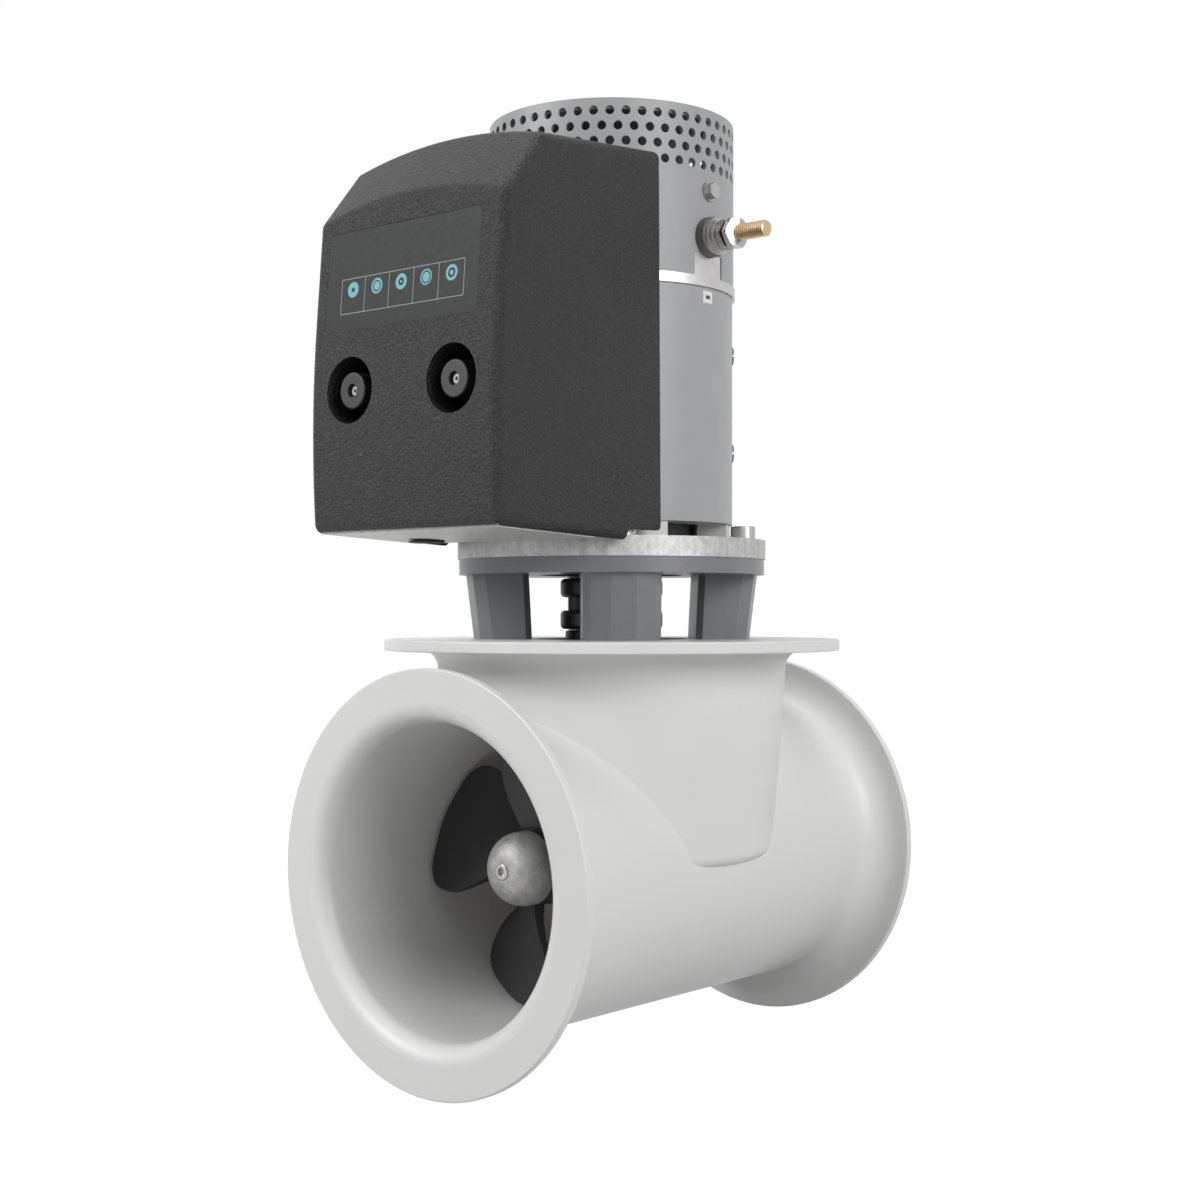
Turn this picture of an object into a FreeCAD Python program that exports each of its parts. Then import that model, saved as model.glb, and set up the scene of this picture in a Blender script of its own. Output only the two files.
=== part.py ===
"""Bow thruster with a flanged tunnel: an electric motor stands on a four-legged bracket over a
round hull plate and drives two counter-rotating propellers through a bevel gear inside the tunnel.

Frame: +Z up, the tunnel runs along Y, the control cover faces -Y.
The origin is the centre of the hull plate's upper face, on the motor's axis.
"""
import FreeCAD, Part
import math
import os
import re
import Sketcher
from FreeCAD import Placement, Rotation, Vector

# ---------------------------------------------------------------- driving sizes, in millimetres
SIZES = [
    # tunnel tube and its two end flanges
    ("tunnel_bore", 185, "inside diameter of the tunnel"),
    ("tunnel_wall", 4, "wall of the tube"),
    ("tunnel_length", 330, "face to face"),
    ("axis_depth", 139.2, "hull plate's top face down to the tunnel's axis"),
    ("mouth_flange", 248, "outside diameter of an end flange"),
    ("mouth_flange_plate", 5.5, "thickness of an end flange"),
    ("mouth_round", 11.5, "round from the bore on to the end face"),
    ("flange_root", 20, "round between the tube and the back of a flange"),
    ("moulded_edge", 1, "round on the rims of the moulding"),
    # riser and hull plate
    ("plate_diameter", 291.6, "hull plate"),
    ("plate_thickness", 7, "hull plate"),
    ("plate_opening", 98, "hole in the plate round the drive"),
    ("plate_bolt_circle", 270, "hull bolts"),
    ("plate_bolt_count", 8, "hull bolts"),
    ("plate_bolt_hole", 9, "hull bolts"),
    ("riser_top", 225, "riser's outside diameter under the plate"),
    ("riser_foot", 207, "riser's outside diameter at its lower edge"),
    ("riser_foot_height", 3, "lower edge of the riser above the tunnel's axis"),
    ("riser_wall", 5, "wall of the riser"),
    ("riser_foot_round", 7, "round along the riser's lower edge"),
    ("riser_flare", 11, "round between the riser and the plate"),
    ("riser_floor", 46, "floor of the riser's cavity above the tunnel's axis"),
    # gear leg
    ("barrel_diameter", 49, "gear housing round the propeller shafts"),
    ("barrel_bore", 41.6, "bore for gears and bearings"),
    ("barrel_half", 44, "half the length of the barrel"),
    ("strut_width", 35, "leg across the tunnel's flow"),
    ("strut_depth", 56, "leg along the tunnel"),
    ("saddle_width", 64, "leg's seat on the tunnel wall, across"),
    ("saddle_depth", 92, "leg's seat on the tunnel wall, along"),
    ("saddle_corner", 14, "corner radius of the seat"),
    ("saddle_plate", 8, "thickness of the seat"),
    ("gasket", 1.5, "gasket between the seat and the tunnel"),
    ("leg_neck", 54, "round neck through the tunnel's crown"),
    ("neck_clearance", 0.5, "radial gap round the neck"),
    ("leg_screw_across", 21, "seat screws, from the middle, across"),
    ("leg_screw_along", 34, "seat screws, from the middle, along"),
    ("leg_screw", 8, "seat screws' thread"),
    ("clamp_plate", 7, "thickness of the plate inside the riser"),
    ("neck_top", -6, "top of the leg's neck, from the hull plate's top"),
    ("shaft_bore", 20, "bore down the leg"),
    ("pinion_pocket", 27.6, "bore round the pinion and the lower bearing"),
    ("pinion_pocket_top", 41, "top of that bore above the tunnel's axis"),
    ("bearing_width", 11, "ball bearings in the leg"),
    ("seal_width", 5, "lip seals of the propeller shafts"),
    ("cap_thickness", 3.5, "caps on the barrel's ends"),
    ("neck_seat", 28, "bore for the upper bearing"),
    ("neck_seat_depth", 16, "depth of the upper bearing's bore"),
    ("neck_cap", 59.4, "cap on the neck"),
    ("neck_cap_top", 5.3, "top of the cap"),
    # drive shaft, coupling and bevel gear set
    ("running_gap", 0.05, "radial gap of a shaft in a bearing"),
    ("drive_shaft", 16, "vertical shaft"),
    ("pinion_spigot", 10, "end of the vertical shaft in the pinion"),
    ("spigot_end", 15, "lower end of the vertical shaft above the tunnel's axis"),
    ("axial_gap", 0.3, "between turning pieces and the bearings and caps beside them"),
    ("pinion_teeth", 12, "bevel pinion"),
    ("gear_teeth", 21, "bevel gears"),
    ("tooth_module", 1.86, "at the outer end of the teeth"),
    ("tooth_face", 7, "length of a tooth"),
    ("coupling_flange", 65.8, "coupling halves"),
    ("coupling_round", 3, "rounded rims of the coupling halves"),
    ("coupling_foot", 6.3, "underside of the lower coupling half"),
    ("coupling_half", 12, "height of the lower coupling half"),
    ("spider_gap", 8.4, "between the coupling halves"),
    ("coupling_upper_height", 12, "height of the upper coupling half"),
    ("coupling_hub", 42, "hub above the upper coupling half"),
    ("spider_diameter", 58, "flexible middle of the coupling"),
    ("spider_pin", 10, "pins of the flexible middle"),
    ("spider_pin_count", 6, "pins of the flexible middle"),
    ("coupling_web", 2, "between the flexible middle and a shaft's end"),
    # propellers
    ("propeller_shaft", 14, "horizontal shafts"),
    ("hub_start", 48.5, "propeller hub, from the middle"),
    ("hub_length", 31, "propeller hub"),
    ("hub_diameter", 49, "propeller hub at the gear leg"),
    ("hub_nose", 46, "propeller hub at the anode"),
    ("blade_tip", 89, "radius of the blade tips"),
    ("blade_pitch", 155, "advance of the blades in one turn"),
    ("blade_root_chord", 31, "width of a blade at the hub"),
    ("blade_chord", 84, "greatest width of a blade"),
    ("blade_root_thickness", 7, "at the hub"),
    ("blade_tip_thickness", 2.4, "near the tip"),
    ("blade_lead", 15, "angle of the first blade from upright"),
    ("blade_count", 4, "blades on a propeller"),
    ("anode_diameter", 45, "sacrificial anode"),
    ("anode_tip", 101.7, "tip of the anode, from the middle"),
    ("anode_round", 17.2, "round of the anode"),
    ("anode_screw_head", 10, "screw in the anode"),
    ("anode_screw_seat", 2, "depth of the screw head's seat"),
    ("anode_screw_proud", 1, "screw's head above the anode"),
    # motor bracket and adaptor plate
    ("leg_height", 40.9, "clear height under the bracket's flange"),
    ("bracket_flange", 196, "bracket's top flange"),
    ("bracket_flange_plate", 9.7, "thickness of the flange"),
    ("bracket_opening", 92, "hole in the flange"),
    ("leg_reach_top", 93.5, "outer face of a leg at the flange, from the axis"),
    ("leg_reach_foot", 88.5, "outer face of a leg at the plate, from the axis"),
    ("leg_heel_top", 54, "inner face of a leg at the flange, from the axis"),
    ("leg_heel_foot", 52, "inner face of a leg at the plate, from the axis"),
    ("leg_half_width", 23.7, "half the width of a leg"),
    ("leg_facet", 7.5, "half the width of the outer facet"),
    ("leg_shoulder", 19.5, "half the width over the second facets"),
    ("leg_count", 4, "legs, feet and their bolts"),
    ("foot_bolt_circle", 140, "bolts from the hull plate into the legs"),
    ("bracket_bolt", 10, "thread of the bracket's bolts"),
    ("thread_depth", 30, "tapped holes in the legs"),
    ("adaptor_bolt_circle", 171, "bolts through the adaptor plate"),
    ("adaptor_diameter", 197.8, "adaptor plate"),
    ("adaptor_thickness", 12.1, "adaptor plate"),
    ("adaptor_opening", 66, "hole in the adaptor plate"),
    ("bolt_head", 16, "socket heads of the adaptor bolts"),
    ("bolt_head_height", 10, "socket heads of the adaptor bolts"),
    # motor
    ("foot_height", 10.1, "motor stands this far above the adaptor plate"),
    ("foot_inner", 114, "inside diameter of the motor's feet"),
    ("foot_outer", 152, "outside diameter of the motor's feet"),
    ("foot_angle", 44, "angle that one foot spans"),
    ("motor_screw_circle", 132, "screws up into the feet"),
    ("motor_screw", 8, "thread of those screws"),
    ("neck_diameter", 106, "bearing neck between the feet"),
    ("yoke_diameter", 155.4, "steel tube of the motor"),
    ("yoke_wall", 6, "steel tube of the motor"),
    ("yoke_length", 144.5, "steel tube of the motor"),
    ("shield_plate", 8, "end shields' thickness"),
    ("pole_length", 104, "field poles"),
    ("pole_reach", 50, "inner radius of the poles"),
    ("pole_angle", 58, "angle that one pole spans"),
    ("pole_screw_low", 119.8, "lower row of pole screws, height"),
    ("pole_screw_high", 182.8, "upper row of pole screws, height"),
    ("pole_screw_head", 12, "pole screws"),
    ("pole_screw_proud", 1.3, "pole screws' heads above the tube"),
    ("armature_gap", 1.2, "between the armature and the poles"),
    ("motor_shaft", 18, "motor shaft"),
    ("commutator", 56, "commutator's diameter"),
    ("commutator_length", 30, "commutator"),
    ("winding_bulge", 84, "diameter of the winding heads"),
    ("winding_length", 12, "length of a winding head"),
    ("band_height", 6.2, "light band between the tube and the perforated shell"),
    ("band_proud", 0.9, "band outside the shell"),
    ("tab_height", 14, "tab of the band under the terminal"),
    ("tab_angle", 19, "angle that the tab spans"),
    ("slit", 1.8, "angle of the slit beside the tab"),
    ("shell_diameter", 156.8, "perforated shell"),
    ("shell_wall", 2.5, "perforated shell"),
    ("shell_height", 103.1, "perforated shell above the band"),
    ("vent_hole", 5.6, "vent holes"),
    ("vent_count", 50, "vent holes in one row"),
    ("vent_top", 7.5, "top row of holes below the shell's rim"),
    ("vent_pitch", 9.1, "height between the rows"),
    ("lid_thickness", 3, "lid inside the shell's rim"),
    ("shell_screw_rise", 52.9, "screws that hold the shell, above the band"),
    ("shell_screw_flange", 12, "screws that hold the shell"),
    ("shell_screw_key", 9, "key size"),
    ("shell_screw_count", 4, "screws that hold the shell"),
    # terminal
    ("terminal_rise", 24.3, "terminal stud above the band"),
    ("terminal_thread", 10, "terminal stud"),
    ("terminal_tip", 123, "tip of the stud from the motor's axis"),
    ("insulator", 24.6, "insulating washer"),
    ("insulator_thickness", 5.6, "insulating washer"),
    ("terminal_washer", 21, "plain washer"),
    ("terminal_washer_thickness", 2.2, "each of the two plain washers"),
    ("lock_washer_thickness", 1.6, "lock washer under the nuts"),
    ("terminal_key", 17, "key size of the terminal nuts"),
    ("thin_nut", 5, "height of the thin nut"),
    ("full_nut", 8, "height of the full nut"),
    ("thread_relief", 0.5, "groove in the stud at the end of its nuts"),
    # control cover and what is under it
    ("cover_width", 155.2, "control cover"),
    ("cover_wall", 3.5, "control cover"),
    ("cover_front", -188.5, "front face at the middle of its bow"),
    ("cover_front_top", -177.8, "front face at the chamfer"),
    ("cover_bow_height", 128, "middle of the bow above the hull plate"),
    ("cover_bow", 820, "radius of the bowed front"),
    ("cover_front_foot", -184.4, "front face at its lower edge"),
    ("cover_chamfer_low", 257, "lower ridge of the chamfer, at the middle"),
    ("cover_chamfer_top", 291.6, "upper ridge of the chamfer, at the middle"),
    ("cover_chamfer_back", -149, "upper ridge of the chamfer"),
    ("cover_roof", 299.8, "roof at the middle"),
    ("crown_radius", 310, "arch of the roof, at the lower ridge"),
    ("cover_back_top", -48, "rear edge of the side walls, top"),
    ("cover_back_foot", -46, "rear edge of the side walls, bottom"),
    ("cover_foot_front", 63.6, "lower edge at the front"),
    ("cover_foot_low", 58.8, "lowest point of the side walls"),
    ("cover_notch", -72.7, "where the side walls step up"),
    ("cover_foot_back", 65.8, "lower edge behind the step"),
    ("cover_round", 6, "rounds of the cover"),
    ("motor_gap", 1.8, "between the roof and the motor"),
    ("well_diameter", 39, "wells round the knobs"),
    ("well_spacing", 84, "knob to knob"),
    ("well_height", 146.1, "knobs above the hull plate"),
    ("well_floor", -158, "floor of the wells"),
    ("knob_disc", 21.4, "knob"),
    ("knob_face", -183.7, "front of the knob"),
    ("knob_bar", 33, "length of the knob's grip bar"),
    ("knob_bar_width", 18, "grip bar"),
    ("knob_bar_depth", 13, "grip bar"),
    ("knob_dimple", 8, "round recess in the knob's face"),
    ("knob_dimple_depth", 2.3, "round recess in the knob's face"),
    ("knob_shank", 12, "knob's shank in the cover"),
    ("stud", 6, "studs that carry the cover"),
    ("stud_gap", 0.3, "round a stud in its knob"),
    ("sheet", 2, "sheet steel of the control bracket"),
    ("sheet_gap", 1, "between the bracket and the cover"),
    ("step_back", -101, "where the bracket's floor steps up on to the adaptor plate"),
    ("tongue_back", -80, "end of the bracket's tongue"),
    ("tongue_screw_across", 24, "tongue screws, from the middle"),
    ("tongue_screw_along", 85, "tongue screws, from the motor's axis"),
    ("upright_back", -90, "back face of the bracket's upright"),
    ("upright_top", 252, "top of the upright"),
    ("upright_half", 58, "half the width of the upright"),
    ("tongue_half", 38, "half the width of the tongue on the adaptor plate"),
    ("contactor", 38, "contactor cans"),
    ("contactor_height", 46, "contactor cans"),
    ("contactor_spacing", 52, "between the two cans"),
    ("module_width", 96, "electronic control module"),
    ("module_height", 44, "electronic control module"),
    ("module_depth", 30, "electronic control module"),
    ("module_drop", 10, "module below the top of the upright"),
    ("module_groove", 5, "cooling grooves"),
    ("contactor_lift", 12, "contactors above the adaptor plate"),
    ("contactor_base", 3, "contactors off the upright"),
    ("contactor_round", 2, "rounded rims of the contactors"),
    ("bus_bar_width", 10, "copper bars"),
    ("bus_bar_thickness", 3, "copper bars"),
    ("grommet", 22, "rubber grommet in the bracket's floor"),
    ("grommet_across", 44, "grommet from the middle, across"),
    ("grommet_along", 122, "grommet from the motor's axis, forward"),
    ("small_screw", 5, "thread of the small screws"),
]

doc = FreeCAD.newDocument("bow_thruster")
sheet = doc.addObject("Spreadsheet::Sheet", "dim")
for line, (alias, number, note) in enumerate(SIZES, start=1):
    sheet.set(f"A{line}", alias)
    sheet.set(f"B{line}", str(number))
    sheet.set(f"C{line}", note)
    sheet.setAlias(f"B{line}", alias)
doc.recompute()

ALIASES = {alias for alias, number, note in SIZES}

# Heights and radii that several pieces share, written in terms of the driving sizes.
DERIVED = {
    "bore_radius": "tunnel_bore / 2",
    "tube_radius": "(tunnel_bore / 2 + tunnel_wall)",
    "half_length": "tunnel_length / 2",
    "riser_edge": "(riser_foot_height - axis_depth)",
    "seat_radius": "(tunnel_bore / 2 - gasket)",
    "bracket_top": "(leg_height + bracket_flange_plate)",
    "adaptor_top": "(leg_height + bracket_flange_plate + adaptor_thickness)",
    "yoke_foot": "(leg_height + bracket_flange_plate + adaptor_thickness + foot_height)",
    "yoke_inner": "(yoke_diameter / 2 - yoke_wall)",
    "yoke_top": "(leg_height + bracket_flange_plate + adaptor_thickness + foot_height + yoke_length)",
    "band_top": "(leg_height + bracket_flange_plate + adaptor_thickness + foot_height + yoke_length"
                " + band_height)",
    "shell_top": "(leg_height + bracket_flange_plate + adaptor_thickness + foot_height + yoke_length"
                 " + band_height + shell_height)",
    "terminal_height": "(leg_height + bracket_flange_plate + adaptor_thickness + foot_height + yoke_length"
                       " + band_height + terminal_rise)",
    "shell_screw_height": "(leg_height + bracket_flange_plate + adaptor_thickness + foot_height + yoke_length"
                          " + band_height + shell_screw_rise)",
    "nut_foot": "(shell_diameter / 2 + insulator_thickness + 2 * terminal_washer_thickness"
                " + lock_washer_thickness)",
    "nut_end": "(shell_diameter / 2 + insulator_thickness + 2 * terminal_washer_thickness"
               " + lock_washer_thickness + thin_nut + full_nut)",
    "shell_inner": "(shell_diameter / 2 - shell_wall)",
    "shell_outer": "(shell_diameter / 2)",
    "coupling_top": "(coupling_foot + coupling_half + spider_gap + coupling_upper_height)",
    "core_low": "(leg_height + bracket_flange_plate + adaptor_thickness + foot_height + shield_plate"
                " + winding_length + 2)",
    "commutator_low": "(leg_height + bracket_flange_plate + adaptor_thickness + foot_height + shield_plate"
                      " + 2 * winding_length + pole_length + 7)",
    "brush_level": "(leg_height + bracket_flange_plate + adaptor_thickness + foot_height + yoke_length"
                   " + band_height + 2)",
    "floor_slope": "((cover_foot_low - cover_foot_front) / (cover_notch - cover_front_foot))",
    "upright_front": "(upright_back - sheet)",
    "crown_axis": "(cover_chamfer_low - crown_radius)",
}


def bound(expression):
    """The expression with every size replaced by its cell in the sheet."""
    text = str(expression)
    while any(re.search(rf"\b{name}\b", text) for name in DERIVED):
        text = re.sub(r"\b\w+\b", lambda word: DERIVED.get(word.group(), word.group()), text)
    def cell(word):
        return f"dim.{word.group()}" if word.group() in ALIASES else word.group()

    return re.sub(r"\b\w+\b", cell, text)


def value(expression):
    """The present value of an expression of sizes."""
    return float(sheet.evalExpression(bound(expression)))


def bind(feature, prop, expression):
    feature.setExpression(prop, bound(expression))


def origin_part(body, role):
    return next(part for part in body.Origin.OriginFeatures if part.Role == role)


class Piece:
    """One sub-part: a PartDesign body whose sketches and features are bound to the sheet.

    A piece built round the tunnel's axis has its own origin there, and one whose details sit
    on the diagonals is drawn along +X and turned by 45 degrees.
    """

    def __init__(self, label, height="0", turned=0):
        self.body = doc.addObject("PartDesign::Body", label)
        self.body.Label = label
        self.body.Placement = Placement(Vector(0, 0, 0), Rotation(Vector(0, 0, 1), turned))
        bind(self.body, "Placement.Base.z", height)

    def sketch(self, plane, at=("0", "0", "0"), swing=None):
        """A sketch on one of the body's planes, moved by `at` and swung about its own upright."""
        sketch = self.body.newObject("Sketcher::SketchObject", "Profile")
        sketch.AttachmentSupport = (origin_part(self.body, plane + "_Plane"), [""])
        sketch.MapMode = "FlatFace"
        if swing is not None:
            sketch.AttachmentOffset = Placement(Vector(0, 0, 0), Rotation(Vector(0, 1, 0), value(swing)))
            bind(sketch, "AttachmentOffset.Rotation.Angle", swing)
        for axis, shift in zip("xyz", at):
            if shift != "0":
                bind(sketch, "AttachmentOffset.Base." + axis, shift)
        return sketch

    def outline(self, points, plane="XZ", **where):
        """A closed profile; a point is (across, up) or (across, up, round of that corner)."""
        sketch = self.sketch(plane, **where)
        corners = [Vector(value(point[0]), value(point[1]), 0) for point in points]
        count = len(corners)
        for i in range(count):
            sketch.addGeometry(Part.LineSegment(corners[i], corners[(i + 1) % count]))
        for i in range(count):
            sketch.addConstraint(Sketcher.Constraint("Coincident", i, 2, (i + 1) % count, 1))
        for i, point in enumerate(points):
            both = (("DistanceX", corners[i].x, point[0]), ("DistanceY", corners[i].y, point[1]))
            for kind, place, size in both:
                index = sketch.addConstraint(Sketcher.Constraint(kind, -1, 1, i, 1, place))
                bind(sketch, f"Constraints[{index}]", size)
        sketch.solve()
        for i, point in enumerate(points):
            if len(point) > 2:
                before = sketch.GeometryCount
                last = (corners[i - 1] + corners[i]) * 0.5
                following = (corners[i] + corners[(i + 1) % count]) * 0.5
                sketch.fillet((i - 1) % count, i, last, following, value(point[2]), True, True)
                arc = next(g for g in range(before, sketch.GeometryCount)
                           if isinstance(sketch.Geometry[g], Part.ArcOfCircle))
                index = sketch.addConstraint(Sketcher.Constraint("Radius", arc, value(point[2])))
                bind(sketch, f"Constraints[{index}]", point[2])
        return sketch

    def circles(self, discs, plane="XY", **where):
        """Circles given as (across, up, diameter)."""
        sketch = self.sketch(plane, **where)
        for i, (across, up, diameter) in enumerate(discs):
            centre = Vector(value(across), value(up), 0)
            sketch.addGeometry(Part.Circle(centre, Vector(0, 0, 1), value(diameter) / 2))
            for kind, place, size in (("DistanceX", centre.x, across), ("DistanceY", centre.y, up)):
                index = sketch.addConstraint(Sketcher.Constraint(kind, -1, 1, i, 3, place))
                bind(sketch, f"Constraints[{index}]", size)
            index = sketch.addConstraint(Sketcher.Constraint("Diameter", i, value(diameter)))
            bind(sketch, f"Constraints[{index}]", diameter)
        return sketch

    def turn(self, points, angle="360", cut=False, about="V_Axis", **where):
        """A revolved profile, added or cut, centred on its sketch plane."""
        sketch = self.outline(points, **where)
        feature = self.body.newObject("PartDesign::Groove" if cut else "PartDesign::Revolution", "Turned")
        feature.Profile = sketch
        feature.ReferenceAxis = (sketch, [about])
        feature.Midplane = True
        bind(feature, "Angle", angle)
        self.body.Tip = feature
        return feature

    def raise_(self, sketch, length, both_ways=False, other_way=False):
        feature = self.body.newObject("PartDesign::Pad", "Raised")
        feature.Profile = sketch
        feature.Midplane = both_ways
        feature.Reversed = other_way
        bind(feature, "Length", length)
        self.body.Tip = feature
        return feature

    def sink(self, sketch, depth, both_ways=False, other_way=False):
        feature = self.body.newObject("PartDesign::Pocket", "Sunk")
        feature.Profile = sketch
        feature.Midplane = both_ways
        feature.Reversed = other_way
        bind(feature, "Length", depth)
        self.body.Tip = feature
        return feature

    def around(self, features, count, axis="Z_Axis"):
        doc.recompute()
        pattern = self.body.newObject("PartDesign::PolarPattern", "Around")
        pattern.Originals = features
        pattern.Axis = (origin_part(self.body, axis), [""])
        pattern.Angle = 360
        bind(pattern, "Occurrences", count)
        self.body.Tip = pattern
        return pattern

    def quarters(self, features):
        """The features mirrored across both upright planes."""
        doc.recompute()
        both = self.body.newObject("PartDesign::MultiTransform", "Quarters")
        both.Originals = features
        steps = []
        for plane in ("YZ_Plane", "XZ_Plane"):
            step = self.body.newObject("PartDesign::Mirrored", "Across")
            step.MirrorPlane = (origin_part(self.body, plane), [""])
            steps.append(step)
        both.Transformations = steps
        self.body.Tip = both
        return both

    def soften(self, radius, chosen):
        """Round the edges for which chosen(edge) is true."""
        doc.recompute()
        names = [f"Edge{i}" for i, edge in enumerate(self.body.Shape.Edges, start=1) if chosen(edge)]
        sharp = self.body.Tip
        fillet = self.body.newObject("PartDesign::Fillet", "Softened")
        fillet.Base = (sharp, names)
        bind(fillet, "Radius", radius)
        self.body.Tip = fillet
        return fillet


def hexagon(key, height="0"):
    """Corners of a hexagon across flats `key`, two of them on the sketch's upright."""
    corner = f"({key}) / sqrt(3)"
    flat = f"({key}) / 2"
    return [("0", f"{height} + {corner}"), (flat, f"{height} + {corner} / 2"),
            (flat, f"{height} - {corner} / 2"), ("0", f"{height} - {corner}"),
            (f"-{flat}", f"{height} - {corner} / 2"), (f"-{flat}", f"{height} + {corner} / 2")]


def rectangle(low_x, low_y, high_x, high_y, corner=None):
    points = [(low_x, low_y), (high_x, low_y), (high_x, high_y), (low_x, high_y)]
    return [point + (corner,) for point in points] if corner else points


def collar(inner, outer, low, high):
    """The profile of a ring, for turning."""
    return rectangle(inner, low, outer, high)


# ---------------------------------------------------------------- tunnel, riser and hull plate
def tunnel():
    piece = Piece("tunnel")
    piece.turn([("0", "riser_edge"), ("riser_foot / 2", "riser_edge", "riser_foot_round"),
                ("riser_top / 2", "-plate_thickness", "riser_flare"),
                ("plate_diameter / 2", "-plate_thickness", "moulded_edge"),
                ("plate_diameter / 2", "0", "moulded_edge"), ("0", "0")])
    slope = "(riser_top - riser_foot) / 2 / (axis_depth - plate_thickness - riser_foot_height)"
    piece.turn([("0", "riser_floor - axis_depth"),
                (f"riser_foot / 2 - riser_wall + (riser_floor - riser_foot_height) * {slope}",
                 "riser_floor - axis_depth"),
                ("riser_top / 2 - riser_wall", "-plate_thickness"),
                ("plate_opening / 2", "-plate_thickness"), ("plate_opening / 2", "1"), ("0", "1")], cut=True)
    level = ("0", "0", "-axis_depth")
    piece.turn([("0", "-half_length"), ("mouth_flange / 2", "-half_length", "moulded_edge"),
                ("mouth_flange / 2", "mouth_flange_plate - half_length", "moulded_edge"),
                ("tube_radius", "mouth_flange_plate - half_length", "flange_root"),
                ("tube_radius", "half_length - mouth_flange_plate", "flange_root"),
                ("mouth_flange / 2", "half_length - mouth_flange_plate", "moulded_edge"),
                ("mouth_flange / 2", "half_length", "moulded_edge"), ("0", "half_length")],
               plane="XY", at=level)
    lip = "bore_radius + mouth_round + moulded_edge"
    piece.turn([("0", "-half_length - 1"), (lip, "-half_length - 1"), (lip, "-half_length"),
                ("bore_radius", "-half_length", "mouth_round"),
                ("bore_radius", "half_length", "mouth_round"),
                (lip, "half_length"), (lip, "half_length + 1"), ("0", "half_length + 1")],
               cut=True, plane="XY", at=level)
    holes = [("0", "0", "leg_neck + 2 * neck_clearance")]
    holes += [(f"{x} * leg_screw_across", f"{y} * leg_screw_along", "leg_screw + neck_clearance")
              for x in (1, -1) for y in (1, -1)]
    piece.sink(piece.circles(holes, at=("0", "0", "tube_radius - axis_depth + 1")), "tube_radius / 3")
    bolt = piece.sink(piece.circles([("plate_bolt_circle / 2", "0", "plate_bolt_hole")], at=("0", "0", "1")),
                      "plate_thickness + 2")
    piece.around([bolt], "plate_bolt_count")
    foot = piece.sink(piece.circles([("foot_bolt_circle / 2 * cos(45)", "foot_bolt_circle / 2 * sin(45)",
                                      "bracket_bolt + 2 * neck_clearance")], at=("0", "0", "1")),
                      "plate_thickness + 2")
    piece.around([foot], "leg_count")
    return piece


# ---------------------------------------------------------------- gear leg, fixed pieces
def saddle(piece, inner, outer):
    """A curved plate that follows the tunnel wall, with the neck's opening left solid."""
    piece.raise_(piece.outline(rectangle("-saddle_width / 2", "-saddle_depth / 2", "saddle_width / 2",
                                         "saddle_depth / 2", "saddle_corner"),
                               plane="XY", at=("0", "0", "tube_radius * 0.75")), "tube_radius / 2")
    far = "tube_radius * 2"
    piece.turn(collar(outer, far, "-saddle_depth", "saddle_depth"), cut=True, plane="XY")
    piece.turn(collar("0", inner, "-saddle_depth", "saddle_depth"), cut=True, plane="XY")


def seat_screw_holes(piece, diameter, low, depth):
    holes = [(f"{x} * leg_screw_across", f"{y} * leg_screw_along", diameter)
             for x in (1, -1) for y in (1, -1)]
    piece.sink(piece.circles(holes, at=("0", "0", low)), depth, other_way=True)


def leg_gasket():
    piece = Piece("leg_gasket", height="-axis_depth")
    saddle(piece, "seat_radius", "bore_radius")
    seat_screw_holes(piece, "leg_screw + neck_clearance", "0", "tunnel_bore")
    piece.sink(piece.circles([("0", "0", "leg_neck + 2 * neck_clearance")]), "tunnel_bore", other_way=True)
    return piece


def gear_housing():
    piece = Piece("gear_housing", height="-axis_depth")
    saddle(piece, "seat_radius - saddle_plate", "seat_radius")
    piece.raise_(piece.outline(rectangle("-strut_width / 2", "-strut_depth / 2", "strut_width / 2",
                                         "strut_depth / 2", "strut_width / 2 - 0.5"), plane="XY"),
                 "seat_radius - saddle_plate / 2")
    piece.raise_(piece.circles([("0", "0", "leg_neck")], at=("0", "0", "seat_radius - 2 * saddle_plate")),
                 "axis_depth + neck_top - seat_radius + 2 * saddle_plate")
    piece.turn([("0", "-barrel_half"), ("barrel_diameter / 2", "-barrel_half"),
                ("barrel_diameter / 2", "barrel_half"), ("0", "barrel_half")], plane="XY")
    piece.turn(collar("0", "barrel_bore / 2", "-barrel_half - 1", "barrel_half + 1"), cut=True, plane="XY")
    top = "axis_depth + neck_top"
    piece.turn([("0", "0"), ("pinion_pocket / 2", "0"), ("pinion_pocket / 2", "pinion_pocket_top"),
                ("shaft_bore / 2", "pinion_pocket_top"), ("shaft_bore / 2", f"{top} - neck_seat_depth"),
                ("neck_seat / 2", f"{top} - neck_seat_depth"), ("neck_seat / 2", f"{top} + 1"),
                ("0", f"{top} + 1")], cut=True)
    seat_screw_holes(piece, "leg_screw + neck_clearance", "seat_radius / 2", "tunnel_bore")
    return piece


def leg_clamp():
    piece = Piece("leg_clamp", height="-axis_depth")
    saddle(piece, "tube_radius", "tube_radius + clamp_plate")
    seat_screw_holes(piece, "leg_screw", "0", "tunnel_bore")
    piece.sink(piece.circles([("0", "0", "leg_neck + 2 * neck_clearance")]), "tunnel_bore", other_way=True)
    return piece


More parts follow.
